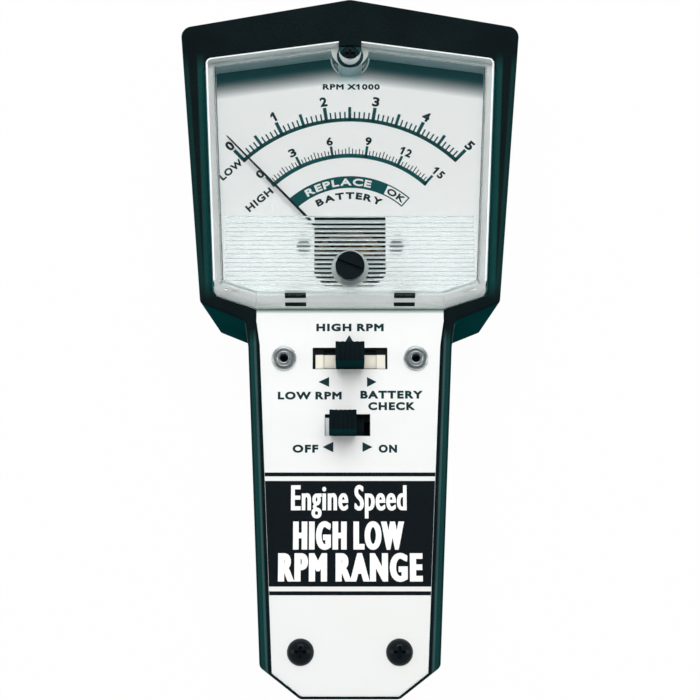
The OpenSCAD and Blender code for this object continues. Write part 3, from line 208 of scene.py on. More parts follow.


# Case plastic: as above, with painted highlights: thin light and blue-green strips of painted sheen on the
# rim's ridges, beside the lens and along the outer edge.
# An edge is its half width at y = 0 and its slope; a strip is its distance inward, half width and fade
rimSheen = {
    "gripEdge": (27.18, 0.0481), "lensEdge": (35.77, 0.05207), "headEdge": (39.3, 0.0891),
    "ridge": (1.85, 0.15, 0.35), "sheenBand": (0.95, 0.3, 0.3), "besideLens": (1.5, 0.7, 0.35),
    "outerRim": (0.9, 0.4, 0.4), "front": (33.0, 33.3), "gripTop": (-3, 1), "headFoot": (9, 14),
    "headTop": (74, 79), "rough": 0.27, "specular": 0.05, "bloom": 0.3,
}


def paintedSheenCase(name, tone, cloudTone, ridgeHighlightTone, paintedRimLight):
    s = rimSheen
    finish = Finish(name)
    cloud = finish.noise(17, 3)
    fine = finish.noise(0.5, 2)
    across, up = finish.size(finish.along((1, 0, 0))), finish.along((0, 1, 0))
    front = finish.span(finish.along((0, 0, 1)), s["front"][0] * mm, s["front"][1] * mm)
    grip, lens, head = s["gripEdge"], s["lensEdge"], s["headEdge"]
    inward = grip[0] * mm + up * grip[1] - across
    onGrip = front * (1 - finish.span(up, s["gripTop"][0] * mm, s["gripTop"][1] * mm))
    # painted highlight: a light strip along the ridge of the grip rim, and painted blue-green sheen in a band
    # nearer the edge
    ridge = finish.strip(inward, *s["ridge"]) * onGrip * (0.55 + cloud * 0.7)
    sheenBand = finish.strip(inward, *s["sheenBand"]) * onGrip
    beside = across - (lens[0] * mm + up * lens[1])
    outside = head[0] * mm + up * head[1] - across
    aboveFoot = finish.span(up, s["headFoot"][0] * mm, s["headFoot"][1] * mm)
    onHead = front * aboveFoot * (1 - finish.span(up, s["headTop"][0] * mm, s["headTop"][1] * mm))
    # painted sheen: blue-green strips beside the lens and along the head's outer edge
    paintedSheen = finish.strip(beside, *s["besideLens"]) + finish.strip(outside, *s["outerRim"]) * 0.5
    colour = finish.blend(finish.span(cloud, 0.3, 0.7), tone, cloudTone)
    colour = finish.blend(finish.span(sheenBand + paintedSheen * onHead, 0, 1), colour, paintedRimLight)
    return finish.surface({
        "Base Color": finish.blend(ridge, colour, ridgeHighlightTone),
        "Roughness": s["rough"] + (cloud - 0.5) * 0.1 + (fine - 0.5) * 0.12,
        "Specular IOR Level": s["specular"],
        "Sheen Weight": s["bloom"],
        "Sheen Roughness": bloomRough,
        "Sheen Tint": bloomTone,
        "Normal": finish.relief(fine, 0.005),
    })


# Dial enamel with painted shade: the margin under the top wall of the lens is painted a deep blue-green shade
# that fades out
lensTopSlope = 0.1385  # fall of the lens's upper edge for each millimetre to the side


def shadedDial(name, tone, agedTone, shadeTone, start, end):
    finish = Finish(name)
    cloud = finish.noise(31, 3)
    fine = finish.noise(1.2, 2)
    across, up = finish.size(finish.along((1, 0, 0))), finish.along((0, 1, 0))
    drop = place["lensApex"] * mm - up - across * lensTopSlope
    streak = finish.noise(2.2, 3, finish.at * (0.15, 1, 1))
    # painted shade: the dial darkens to the shade tone near the lens's top wall
    clear = finish.span(drop + (streak - 0.5) * (0.5 * mm), start * mm, end * mm)
    colour = finish.blend(finish.span(cloud, 0.35, 0.75) * 0.6, tone, agedTone)
    return finish.surface({
        "Base Color": finish.blend(clear * clear, shadeTone, colour),
        "Roughness": 0.5 + (fine - 0.5) * 0.08,
        "Specular IOR Level": 0.3,
        "Normal": finish.relief(fine, 0.004),
    })


# Plate enamel: a painted shadow darkens the line under the lens, and the punched walls of the slots are
# darkened with painted shade
def punchedPlate(name, tone, agedTone, shadeAndSpeckTone):
    finish = Finish(name)
    peel = finish.noise(2.4, 2)
    cloud = finish.noise(31, 3)
    across, up, height = finish.along((1, 0, 0)), finish.along((0, 1, 0)), finish.along((0, 0, 1))
    speck = finish.span(finish.noise(0.7, 3), 0.69, 0.76)
    # painted shade: the punched walls of the slots, below the plate's face, are darkened; the same tone
    # darkens small specks
    walls = 0
    for x, y, wide, tall in switchSlots.values():
        walls = walls + finish.strip(across, x, wide, 0.02) * finish.strip(up, y, tall, 0.02)
    face, head = level["plateTop"], place["plateHead"]
    belowFace = 1 - finish.span(height, (face - 0.07) * mm, (face - 0.04) * mm)
    walls = finish.span(walls * belowFace, 0, 1)
    # painted shadow: a dark line on the plate under the foot of the lens
    under = finish.span(up, (head - 1.1) * mm, (head - 0.2) * mm)
    colour = finish.blend(finish.span(cloud, 0.35, 0.75) * 0.6, tone, agedTone)
    colour = finish.blend(under * 0.9, colour, lensFootShadowTone)
    return finish.surface({
        "Base Color": finish.blend(finish.span(walls + speck * 0.1, 0, 1), colour, shadeAndSpeckTone),
        "Roughness": 0.34 + (peel - 0.5) * 0.08 + speck * 0.1,
        "Coat Weight": 0.3 * (1 - speck),
        "Coat Roughness": 0.2,
        "Normal": finish.relief(peel, 0.012),
    })


# Switch part seen through a slot: its own tone in a window, painted shade (near black) beyond it, plating
# outside the slot
def slotFinish(name, tone, window, slot=None, rough=0.45, beyond=0.35):
    finish = Finish(name)
    fine = finish.noise(0.4, 3)
    cloud = finish.noise(3.5, 3)
    across, up = finish.along((1, 0, 0)), finish.along((0, 1, 0))
    x0, y0, x1, y1 = window
    shown = (finish.strip(across, (x0 + x1) / 2, (x1 - x0) / 2, 0.05)
             * finish.strip(up, (y0 + y1) / 2, (y1 - y0) / 2, 0.05))
    # painted shade: outside the window the part is near black for the shade in the slot
    colour = finish.blend(shown * (0.92 + cloud * 0.16), slotShadeTone, tone)
    metallic = 0.0
    if slot:
        x, y, wide, tall = slot
        inside = finish.strip(across, x, wide + beyond, 0.05) * finish.strip(up, y, tall + beyond, 0.05)
        colour = finish.blend(inside, plating, colour)
        metallic = 1 - inside
    return finish.surface({
        "Base Color": colour,
        "Metallic": metallic,
        "Roughness": rough + (fine - 0.5) * 0.12,
        "Specular IOR Level": 0.2,
        "Normal": finish.relief(fine, 0.006),
    })


# Plated or bare metal: streaks along one direction, small stains, and bright and dull patches
def metal(name, tone, stainTone, rough=0.28, streak=(1, 14, 1), depth=0.004, stain=0.4):
    finish = Finish(name)
    lines = finish.noise(1.6, 3, finish.at * streak)
    patch = finish.noise(4.3, 4)
    stained = finish.span(patch, 0.5, 0.72) * stain
    return finish.surface({
        "Base Color": finish.blend(stained, tone, stainTone),
        "Metallic": 1 - stained * 0.3,
        "Roughness": rough + (lines - 0.5) * 0.14 + stained * 0.2,
        "Normal": finish.relief(lines, depth),
    })


# Metal turned on a lathe: fine rings around centres that lie alike left and right of the middle
def turnedMetal(name, tone, stainTone, centre, rough=0.3, pitch=0.12, depth=0.004):
    finish = Finish(name)
    flat = finish.add("VectorMath", {"operation": "ABSOLUTE"}, {0: finish.at * (1, 1, 0)})
    radius = finish.length(flat - (abs(centre[0]) * mm, abs(centre[1]) * mm, 0))
    patch = finish.noise(1.5, 4)
    rings = finish.ripple(radius + patch * (0.05 * mm), pitch)
    stained = finish.span(patch, 0.48, 0.74) * 0.5
    return finish.surface({
        "Base Color": finish.blend(stained, tone, stainTone),
        "Metallic": 1 - stained * 0.25,
        "Roughness": rough + (rings - 0.5) * 0.08 + stained * 0.18,
        "Normal": finish.relief(rings, depth),
    })


# Enamelled wire laid side by side: ridges along one direction with shiny and dull turns, and painted shade in
# the grooves between the turns
def woundWire(name, direction, pitch, tone=(0.46, 0.16, 0.045), shadeTone=(0.2, 0.055, 0.018)):
    finish = Finish(name)
    reach = finish.along(direction)
    ridge = finish.ripple(reach + (finish.noise(2.2, 2) - 0.5) * (0.1 * mm), pitch)
    patch = finish.noise(1.3, 3)
    return finish.surface({
        "Base Color": finish.blend(ridge * (0.6 + patch * 0.5), shadeTone, tone),
        "Metallic": 0.75 + ridge * 0.2,
        "Roughness": 0.42 - ridge * 0.12 + (patch - 0.5) * 0.1,
        "Normal": finish.relief(ridge, pitch * 0.3),
    })


# Meter base: black moulding whose rim under the dial and lens is white as painted light, standing in for
# light carried down the lens wall
def rimmedBase(name, tone, paintedRimLight, rimLow, rimHigh, bareAt, bareRadius, specular=0.08):
    finish = Finish(name)
    height = finish.along((0, 0, 1))
    above = finish.span(height, rimLow * mm, (rimLow + 0.1) * mm)
    below = 1 - finish.span(height, rimHigh * mm, (rimHigh + 0.1) * mm)
    apart = finish.length(finish.at * (1, 1, 0) - (bareAt[0] * mm, bareAt[1] * mm, 0))
    rim = above * below * finish.span(apart, bareRadius * mm, (bareRadius + 0.1) * mm)
    fine = finish.noise(0.5, 3)
    cloud = finish.noise(9, 3)
    # painted light: the white rim
    colour = finish.blend(rim, tone, paintedRimLight)
    return finish.surface({
        "Base Color": colour * (0.85 + cloud * 0.25),
        "Roughness": 0.4 + rim * 0.1 + (fine - 0.5) * 0.14,
        "Specular IOR Level": specular,
        "Normal": finish.relief(fine, 0.01),
    })


# Printing ink: thin, slightly uneven cover and a soft sheen
def ink(name, tone, thinTone, rough=0.42, specular=0.15):
    finish = Finish(name)
    cover = finish.noise(0.9, 3)
    fine = finish.noise(0.16, 2)
    return finish.surface({
        "Base Color": finish.blend(finish.span(cover, 0.45, 0.8) * 0.5, tone, thinTone),
        "Roughness": rough + (fine - 0.5) * 0.14,
        "Specular IOR Level": specular,
        "Normal": finish.relief(fine, 0.004),
    })


# Paper laminate: a woven sheet under resin
def laminated(name, tone, weaveTone, pitch=0.7, rough=0.38):
    finish = Finish(name)
    weave = finish.ripple(finish.along((1, 0, 0)), pitch) * finish.ripple(finish.along((0, 1, 0)), pitch)
    cloud = finish.noise(6, 3)
    return finish.surface({
        "Base Color": finish.blend(weave * 0.5 + (cloud - 0.5) * 0.4, tone, weaveTone),
        "Roughness": rough + weave * 0.1 + (cloud - 0.5) * 0.12,
        "Normal": finish.relief(weave, 0.01),
    })


# Circuit board: green lacquer over copper tracks that run in steps
def trackedBoard(name):
    finish = Finish(name)
    grid = finish.cells(3.2, finish.at * (1, 0.35, 0.01), "Position")
    track = finish.span(finish.cells(3.2, finish.at * (1, 0.35, 0.01)), 0.3, 0.34)
    cloud = finish.noise(5, 3, grid)
    green = finish.blend(cloud, (0.03, 0.13, 0.035), (0.045, 0.17, 0.05))
    return finish.surface({
        "Base Color": finish.blend(track * 0.7, green, (0.1, 0.24, 0.07)),
        "Roughness": 0.3 + track * 0.08 + (finish.noise(0.5, 2) - 0.5) * 0.1,
        "Coat Weight": 0.4 - track * 0.1,
        "Normal": finish.relief(track, 0.03),
    })


# Open foam: round pores with painted shade in their hollows
def openFoam(name, tone, poreShadeTone, size=0.9):
    finish = Finish(name)
    pore = finish.span(finish.cells(size), 0.05, 0.5)
    cloud = finish.noise(5, 3)
    return finish.surface({
        "Base Color": finish.blend(pore * 0.8, poreShadeTone, tone) * (0.8 + cloud * 0.3),
        "Roughness": 0.92 - pore * 0.08,
        "Sheen Weight": 0.2,
        "Normal": finish.relief(pore, size * 0.3),
    })


# Lacquered can of the battery: drawn metal with a printed copper-coloured end
def lacqueredCan(name, bodyTone, endTone, splitAt):
    finish = Finish(name)
    lines = finish.noise(1.8, 3, finish.at * (9, 1, 9))
    scuff = finish.span(finish.noise(2.2, 5), 0.6, 0.72)
    top = finish.span(finish.along((0, 1, 0)), splitAt * mm, (splitAt + 0.1) * mm)
    colour = finish.blend(top, bodyTone, endTone)
    return finish.surface({
        "Base Color": finish.blend(scuff * 0.35, colour, (0.42, 0.42, 0.4)),
        "Metallic": 0.35 + top * 0.5,
        "Roughness": 0.33 + (lines - 0.5) * 0.1 + scuff * 0.2,
        "Normal": finish.relief(lines, 0.006),
    })


# Clear moulded polystyrene with a faint haze; the lamps' light passes it with the shadow's tone
def clearMoulding(name, tone, shadowTone, rough=0.015):
    finish = Finish(name)
    haze = finish.noise(9, 3)
    wave = finish.noise(16, 2)
    body = finish.add("BsdfPrincipled", {}, {
        "Base Color": tone,
        "Roughness": rough + finish.span(haze, 0.4, 0.9) * 0.02,
        "IOR": 1.5,
        "Transmission Weight": 1.0,
        "Normal": finish.relief(wave, 0.006),
    })
    return finish.passLight(body, shadowTone)


# Frost on the lens, painted light and shade: pale frost on the reeds, the boss, the foot and the rounded edge
# is painted light standing in for their highlights and reflections, and dark frost on the top wall and the
# catch windows is painted shade standing in for the dark case and catches seen through; it half hides what
# lies below
def paintedLightFrost(name, tone, cover, shadowTone=(0.9, 0.93, 0.93)):
    finish = Finish(name)
    grain = finish.noise(0.35, 3)
    cloud = finish.noise(6, 3)
    clear = finish.add("BsdfPrincipled", {}, {
        "Base Color": (0.95, 0.995, 0.99),
        "Roughness": 0.05,
        "IOR": 1.5,
        "Transmission Weight": 1.0,
    })
    frost = finish.add("BsdfPrincipled", {}, {
        "Base Color": finish.blend(cloud, tone, tuple(part * 0.92 for part in tone)),
        "Roughness": 0.5 + (grain - 0.5) * 0.2,
        "Specular IOR Level": 0.08,
    })
    body = finish.add("MixShader", {}, {0: cover - 0.1 + grain * 0.2, 1: clear, 2: frost})
    return finish.passLight(body, shadowTone)


finishes = {
    "case": paintedSheenCase("caseBlack", (0.0028, 0.0055, 0.0065), (0.0036, 0.0085, 0.0095),
                       (0.03, 0.072, 0.075), (0.0035, 0.036, 0.034)),
    # painted light: the sloping walls under the head take a lighter blue-green copy of the case plastic for
    # the light they catch
    "jaw": mouldedPlastic("caseJawPaintedLight", (0.0012, 0.02, 0.019), (0.002, 0.034, 0.032), rough=0.5,
                          grain=0.5, depth=0.005, specular=0.0, dust=0.003, bloom=0.1),
    "plate": punchedPlate("plateWhite", (0.745, 0.76, 0.755), (0.725, 0.735, 0.715),
                          (0.004, 0.007, 0.007)),
    "black_screw": mouldedPlastic("screwBlack", (0.004, 0.0065, 0.0085), (0.005, 0.01, 0.012),
                                  rough=0.2, grain=0.3, depth=0.003, specular=0.16, dust=0.005),
    "zinc": metal("zincPlate", plating, (0.4, 0.43, 0.41), rough=0.42),
    "lens": clearMoulding("lensClear", (0.985, 1.0, 0.998), (0.998, 1.0, 1.0)),
    "lensWall": clearMoulding("lensWall", (0.95, 0.99, 0.985), (0.7, 0.8, 0.8)),
    # painted light and shade on the lens: the pale frosts stand in for highlights and reflections, the dark
    # ones (lensTop, lensCatch) for the dark case and catches seen through
    "lensReed": paintedLightFrost("lensReed", (0.84, 0.94, 0.94), 0.56, (0.96, 0.97, 0.97)),
    "lensTop": paintedLightFrost("lensTop", (0.42, 0.62, 0.66), 0.7, (0.05, 0.3, 0.3)),
    "lensFoot": paintedLightFrost("lensFoot", (0.93, 0.985, 0.97), 0.74, (0.12, 0.3, 0.28)),
    "lensEdge": paintedLightFrost("lensEdge", (0.97, 0.99, 0.99), 0.84),
    "lensCatch": paintedLightFrost("lensCatch", (0.001, 0.007, 0.006), 0.95),
    "base": mouldedPlastic("baseBlack", (0.008, 0.01, 0.011), (0.012, 0.014, 0.015), rough=0.45,
                           dust=0.05),
    "tray": rimmedBase("baseRimmed", (0.003, 0.045, 0.052), (0.8, 0.81, 0.8), 28.5, 31.2,
                       (0, place["notch"]), 3.6),
    "dial": shadedDial("dialWhite", (0.95, 0.955, 0.95), (0.92, 0.925, 0.92),
                       (0.0005, 0.04, 0.045), 4.4, 10.0),
    "steel": metal("turnedSteel", (0.66, 0.68, 0.68), (0.42, 0.42, 0.4), rough=0.5, streak=(1, 1, 12)),
    "brass": metal("turnedBrass", (0.72, 0.5, 0.2), (0.36, 0.24, 0.1), rough=0.28, streak=(1, 1, 12)),
    "alloy": metal("stampedAlloy", (0.84, 0.86, 0.85), (0.6, 0.61, 0.6), rough=0.55,
                   streak=(10, 1, 1)),
    "magnet": metal("groundMagnet", (0.2, 0.21, 0.22), (0.11, 0.1, 0.1), rough=0.4,
                    streak=(1, 1, 16)),
    "copper": metal("springBronze", (0.68, 0.38, 0.16), (0.4, 0.2, 0.09), rough=0.26,
                    streak=(1, 1, 4)),
    "pointer": ink("pointerDark", (0.004, 0.016, 0.018), (0.012, 0.03, 0.032), rough=0.5),
    "laminate": laminated("paperLaminate", laminateTone, (0.52, 0.37, 0.18)),
    "knob": mouldedPlastic("knobBlack", (0.0045, 0.0075, 0.009), (0.006, 0.012, 0.014), rough=0.5,
                           grain=0.3, depth=0.01, specular=0.0, dust=0.01, bloom=0.1),
    "board": trackedBoard("boardGreen"),
    "solder": metal("solderTin", (0.66, 0.67, 0.68), (0.4, 0.4, 0.4), rough=0.36, streak=(1, 1, 1),
                    depth=0.02),
    "chip": mouldedPlastic("chipBlack", (0.018, 0.019, 0.02), (0.028, 0.028, 0.03), rough=0.55,
                           grain=0.25, dust=0.2),
    "resistor": mouldedPlastic("resistorTan", (0.54, 0.38, 0.22), (0.46, 0.32, 0.18), rough=0.4,
                               grain=0.5),
    "diode": mouldedPlastic("diodeRed", (0.4, 0.06, 0.025), (0.3, 0.045, 0.02), rough=0.16,
                            grain=0.8, depth=0.004),
    "film": mouldedPlastic("capacitorMustard", (0.48, 0.25, 0.035), (0.4, 0.2, 0.03), rough=0.24,
                           grain=1.2),
    "sleeve": mouldedPlastic("capacitorSleeve", (0.022, 0.055, 0.12), (0.03, 0.07, 0.15), rough=0.26,
                             grain=1.5),
    "trimmer": mouldedPlastic("trimmerBlue", (0.03, 0.12, 0.38), (0.025, 0.1, 0.32), rough=0.38),
    "battery": lacqueredCan("batteryCan", (0.025, 0.027, 0.03), (0.6, 0.36, 0.13), -48.0),
    "foam": openFoam("foamGrey", (0.17, 0.18, 0.185), (0.03, 0.03, 0.032)),
}
wireTones = {
    "red_wire": (0.45, 0.02, 0.024), "black_wire": (0.012, 0.012, 0.013),
    "blue_wire": (0.03, 0.12, 0.36), "yellow_wire": (0.58, 0.37, 0.03),
    "green_wire": (0.1, 0.26, 0.07), "white_wire": (0.68, 0.68, 0.64),
}
for slot, tone in wireTones.items():
    lighter = tuple(min(part * 1.25, 0.8) for part in tone)
    finishes[slot] = mouldedPlastic(slot.replace("_wire", "Insulation"), tone, lighter, rough=0.42,
                                    grain=0.4, dust=0.15)
coilTurn = math.radians(43.5)
acrossTurns = (-math.sin(coilTurn), math.cos(coilTurn), 0)
finishes.update({
    "coil": woundWire("coilWire", acrossTurns, 0.35, (0.95, 0.52, 0.2), (0.5, 0.2, 0.07)),
    "pickup": woundWire("pickupWire", (1, 0, 0), 0.42),
    "scaleInk": ink("scaleInk", (0.003, 0.07, 0.074), (0.006, 0.09, 0.094)),
    "legendInk": ink("legendInk", (0.005, 0.024, 0.027), (0.009, 0.034, 0.037)),
    "bandInk": ink("bandInk", (0.0035, 0.006, 0.008), (0.006, 0.01, 0.013), rough=0.36),
    "lightInk": ink("lightInk", (0.84, 0.85, 0.84), (0.78, 0.79, 0.78), rough=0.4),
    "rangeFrame": slotFinish("rangeFramePlated", creamTone, (-9.1, -9.6, 9.3, -5.94),
                             switchSlots["range"]),
    "rangeCarrier": slotFinish("rangeCarrierCream", creamTone, (-9.1, -9.3, 9.3, -5.73)),
    "powerFrame": slotFinish("powerFramePlated", (0.75, 0.8, 0.82), (-6.5, -28.0, -4.4, -22.8),
                             switchSlots["power"]),
    "powerBase": slotFinish("powerBaseDark", laminateTone, (-10.5, -31, -6.8, -19)),
    "yoke": metal("yokeSteel", (0.62, 0.42, 0.3), (0.3, 0.22, 0.17), rough=0.5, streak=(1, 1, 12)),
    # painted shade: the bridge is darkened to a blue-green black for the shade it lies in under the dial
    "bridge": metal("bridgePaintedShade", (0.03, 0.07, 0.075), (0.015, 0.03, 0.033), rough=0.5,
                    streak=(10, 1, 1)),
    "rivet": turnedMetal("rivetZinc", (0.82, 0.9, 0.91), (0.5, 0.55, 0.54), (17.45, place["range"]),
                         rough=0.34),
})
print("finishes:", len(finishes))


# Outlines: corners are (x, y, radius) and run clockwise; each edge moves in by its own distance
leastRadius = 0.4


def movedCorner(before, corner, after, inBefore, inAfter):
    u = (Vector(corner[:2]) - Vector(before[:2])).normalized()
    w = (Vector(after[:2]) - Vector(corner[:2])).normalized()
    n, m = Vector((u.y, -u.x)), Vector((w.y, -w.x))
    turn = n.x * m.y - n.y * m.x
    x = corner[0] + (m.y * inBefore - n.y * inAfter) / turn
    y = corner[1] + (n.x * inAfter - m.x * inBefore) / turn
    change = (inBefore + inAfter) / 2
    return x, y, max(corner[2] - change if turn < 0 else corner[2] + change, leastRadius)


def movedCorners(corners, distances):
    count = len(corners)
    return [movedCorner(corners[i - 1], corners[i], corners[(i + 1) % count], distances[i - 1], distances[i])
            for i in range(count)]


def roundedOutline(corners, steps):
    outline = []
    for i, corner in enumerate(corners):
        spot = Vector(corner[:2])
        u = (Vector(corners[i - 1][:2]) - spot).normalized()
        w = (Vector(corners[(i + 1) % len(corners)][:2]) - spot).normalized()
        half = math.acos(max(-1, min(1, u.dot(w)))) / 2
        centre = spot + (u + w).normalized() * corner[2] / math.sin(half)
        start = spot + u * corner[2] / math.tan(half) - centre
        end = spot + w * corner[2] / math.tan(half) - centre
        side = -1 if start.x * end.y - start.y * end.x < 0 else 1
        angle = math.atan2(start.y, start.x)
        for k in range(steps + 1):
            a = angle + side * (math.pi - 2 * half) * k / steps
            outline.append((centre.x + corner[2] * math.cos(a), centre.y + corner[2] * math.sin(a)))
    return outline


def mirroredHalf(half):
    return [(-x, y, r) for x, y, r in reversed(half)]


cornerSteps = 8
caseHalf = [(47, 86.5, 3), (40, 7.9, 2), (28, 3, 2), (27, -3.8, 8), (23, -87, 2), (12.6, -95, 2)]
caseCorners = [(0, 95, 4)] + caseHalf + mirroredHalf(caseHalf)
lensHalf = [(39.7, 75.5, 2), (36.3, 10.2, 2), (25, 6.5, 2)]
lensCorners = [(0, 81, 2)] + lensHalf + mirroredHalf(lensHalf)


def caseOutline(side, end, jaw):
    edges = [end, side, jaw, side, side, end, end, end, side, side, jaw, side, end]
    return roundedOutline(movedCorners(caseCorners, edges), cornerSteps)


def lensOutline(side, foot):
    return roundedOutline(movedCorners(lensCorners, [side, side, foot, foot, foot, side, side]), cornerSteps)


def openingOutline(end, side):
    return roundedOutline(movedCorners(lensCorners, [end, side, end, end, end, side, end]), cornerSteps)


sideLean = 3.3  # how far the side walls lean in at the back


def lean(z):
    return sideLean * (level["face"] - z) / level["face"]


# Solids in millimetres that pieces are put together from
bite = 0.01  # how far a solid reaches into or past the next before the two are joined or cut


def solid(vertices, faces):
    mesh = bpy.data.meshes.new("solid")
    mesh.from_pydata([tuple(v) for v in vertices], [], faces)
    outward = bmesh.new()
    outward.from_mesh(mesh)
    bmesh.ops.recalc_face_normals(outward, faces=outward.faces)
    outward.to_mesh(mesh)
    outward.free()
    made = bpy.data.objects.new("solid", mesh)
    bpy.context.scene.collection.objects.link(made)
    return made


def loft(rings):  # rings of equal point counts, clockwise outlines from low to high
    count = len(rings[0][1])
    vertices = [(x, y, z) for z, outline in rings for x, y in outline]
    faces = [tuple(range(count))]
    for k in range(len(rings) - 1):
        for i in range(count):
            a, b = k * count + i, k * count + (i + 1) % count
            faces.append((a, a + count, b + count, b))
    last = (len(rings) - 1) * count
    faces.append(tuple(last + i for i in reversed(range(count))))
    return solid(vertices, faces)


def prism(outline, low, high):
    return loft([(low, outline), (high, outline)])


def slab(size, x, y, z):  # centred on x and y, standing on z
    w, h = size[0] / 2, size[1] / 2
    return prism([(x - w, y - h), (x - w, y + h), (x + w, y + h), (x + w, y - h)], z, z + size[2])


def ringPoints(radius, x=0.0, y=0.0, sides=64):
    return [(x + radius * math.cos(a), y + radius * math.sin(a))
            for a in (-2 * math.pi * k / sides for k in range(sides))]


def drum(radius, low, high, x=0.0, y=0.0, sides=64):
    return prism(ringPoints(radius, x, y, sides), low, high)


def turned(profile, x, y, sides=96):  # closed profile of (radius, z), from the lower outside upwards
    vertices, faces = [], []
    for k in range(sides):
        a = 2 * math.pi * k / sides
        vertices += [(x + r * math.cos(a), y + r * math.sin(a), z) for r, z in profile]
    count = len(profile)
    for k in range(sides):
        for i in range(count):
            j, nextK = (i + 1) % count, (k + 1) % sides
            faces.append((k * count + i, nextK * count + i, nextK * count + j, k * count + j))
    return solid(vertices, faces)


def drawn(fromX, toX, profile):  # profile of (y, z) drawn out along x
    count = len(profile)
    faces = [tuple(range(count)), tuple(reversed(range(count, 2 * count)))]
    faces += [(i, count + i, count + (i + 1) % count, (i + 1) % count) for i in range(count)]
    return solid([(x, y, z) for x in (fromX, toX) for y, z in profile], faces)


def rounding(radius, steps):  # quarter of a circle, as how far each point is from its two ends
    turns = [math.pi / 2 * k / steps for k in range(steps + 1)]
    return [(radius * (1 - math.cos(a)), radius * (1 - math.sin(a))) for a in turns]


def settle(piece):  # makes the work of its modifiers its own mesh
    graph = bpy.context.evaluated_depsgraph_get()
    graph.update()
    mesh = bpy.data.meshes.new_from_object(piece.evaluated_get(graph))
    piece.modifiers.clear()
    old, piece.data = piece.data, mesh
    bpy.data.meshes.remove(old)
    return piece


def combine(piece, others, operation):
    for other in others:
        step = piece.modifiers.new("step", "BOOLEAN")
        step.operation = operation
        step.solver = "MANIFOLD"
        step.object = other
    settle(piece)
    for other in others:
        bpy.data.objects.remove(other)
    return piece


def fuse(piece, others):
    return combine(piece, others, "UNION")


def carve(piece, others):
    return combine(piece, others, "DIFFERENCE")


def clip(piece, others):
    return combine(piece, others, "INTERSECT")


def gather(objects):  # several solids in one mesh
    joined = bmesh.new()
    for each in objects:
        joined.from_mesh(each.data)
        bpy.data.objects.remove(each)
    return joined


weldWithin = 0.0004  # corners closer than this, in millimetres, become one


# A piece of the scene, in metres; edges turned by less than smooth, in degrees, look round
def asPiece(name, objects, finish, body, smooth, replaced=()):
    joined = gather(objects)
    bmesh.ops.remove_doubles(joined, verts=joined.verts, dist=weldWithin)
    bmesh.ops.dissolve_degenerate(joined, edges=joined.edges, dist=weldWithin)
    bmesh.ops.recalc_face_normals(joined, faces=joined.faces)
    bmesh.ops.scale(joined, vec=(mm, mm, mm), verts=joined.verts)
    mesh = bpy.data.meshes.new(name)
    joined.to_mesh(mesh)
    joined.free()
    piece = bpy.data.objects.new(name, mesh)
    bpy.context.scene.collection.objects.link(piece)
    mesh.polygons.foreach_set("use_smooth", [True] * len(mesh.polygons))
    mesh.set_sharp_from_angle(angle=math.radians(smooth))
    even = piece.modifiers.new("even", "WEIGHTED_NORMAL")
    even.keep_sharp = True
    settle(piece)
    piece.data.materials.clear()
    piece.data.materials.append(finish)
    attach(piece, body)
    if replaced:
        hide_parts(*replaced)
    return piece


# Case: one deep moulding with a rounded back, a bevelled rim and one opening for lens and plate
caseShape = {
    "backRound": 4.0, "backSteps": 7, "rimRound": 0.8, "rimSteps": 5, "endRimShare": 0.6,
    "wall": 2.4, "innerRound": 2.0, "innerSteps": 4, "gripHalf": 28.0, "rimWidth": 3.0,
    "footRim": 0.6, "plateBevel": 1.1, "lensBevel": 0.9, "lensBevelDepth": 0.6, "lensGap": 0.4,
    "ledge": 1.5, "jawBeyond": 25.5, "jawWithin": 9, "jawFacing": -0.4, "jawUpright": 0.5,
}
# Inside the case: posts under the screws and the meter, ribs beside the battery, rests of the pickup rod
caseInside = {
    "screwPost": 3.6, "screwX": 12.6, "screwHole": 1.3, "screwDepth": 19.4,
    "meterPost": 2.5, "meterPosts": ((34.7, 70.5), (31.3, 15.2)),
    "rib": (1.6, 38.7, 8), "ribX": 14.55, "ribY": -54.3,
    "rest": (2.4, 6.6, 9.6), "restX": 14.2, "restRound": 2.55, "restReach": (9, 19), "rodHeight": 12,
    "topPost": 3.2, "topDepth": 17.0,
}


def plateArea(side, end, topY, low, high):
    half = caseShape["gripHalf"] - side
    bounds = slab((2 * half, topY - place["foot"], high - low + 2), 0, (topY + place["foot"]) / 2, low - 1)
    return clip(prism(caseOutline(side, end, side), low, high), [bounds])


def buildPosts(floor):
    s = caseInside
    posts = []
    for side in (-1, 1):
        x, y = side * s["screwX"], place["plateScrew"]
        posts.append(carve(drum(s["screwPost"], floor, level["plate"], x, y),
                           [drum(s["screwHole"], s["screwDepth"], 40, x, y)]))
        for x, y in s["meterPosts"]:
            posts.append(drum(s["meterPost"], floor, level["seat"], side * x, y))
        posts.append(slab(s["rib"], side * s["ribX"], s["ribY"], floor))
        near, far = s["restReach"]
        rod = drawn(side * near, side * far, ringPoints(s["restRound"], place["rod"], s["rodHeight"], 48))
        posts.append(carve(slab(s["rest"], side * s["restX"], place["rod"], floor), [rod]))
    posts.append(carve(drum(s["topPost"], floor, level["seat"], 0, place["notch"]),
                       [drum(s["screwHole"], s["topDepth"], 40, 0, place["notch"])]))
    return posts


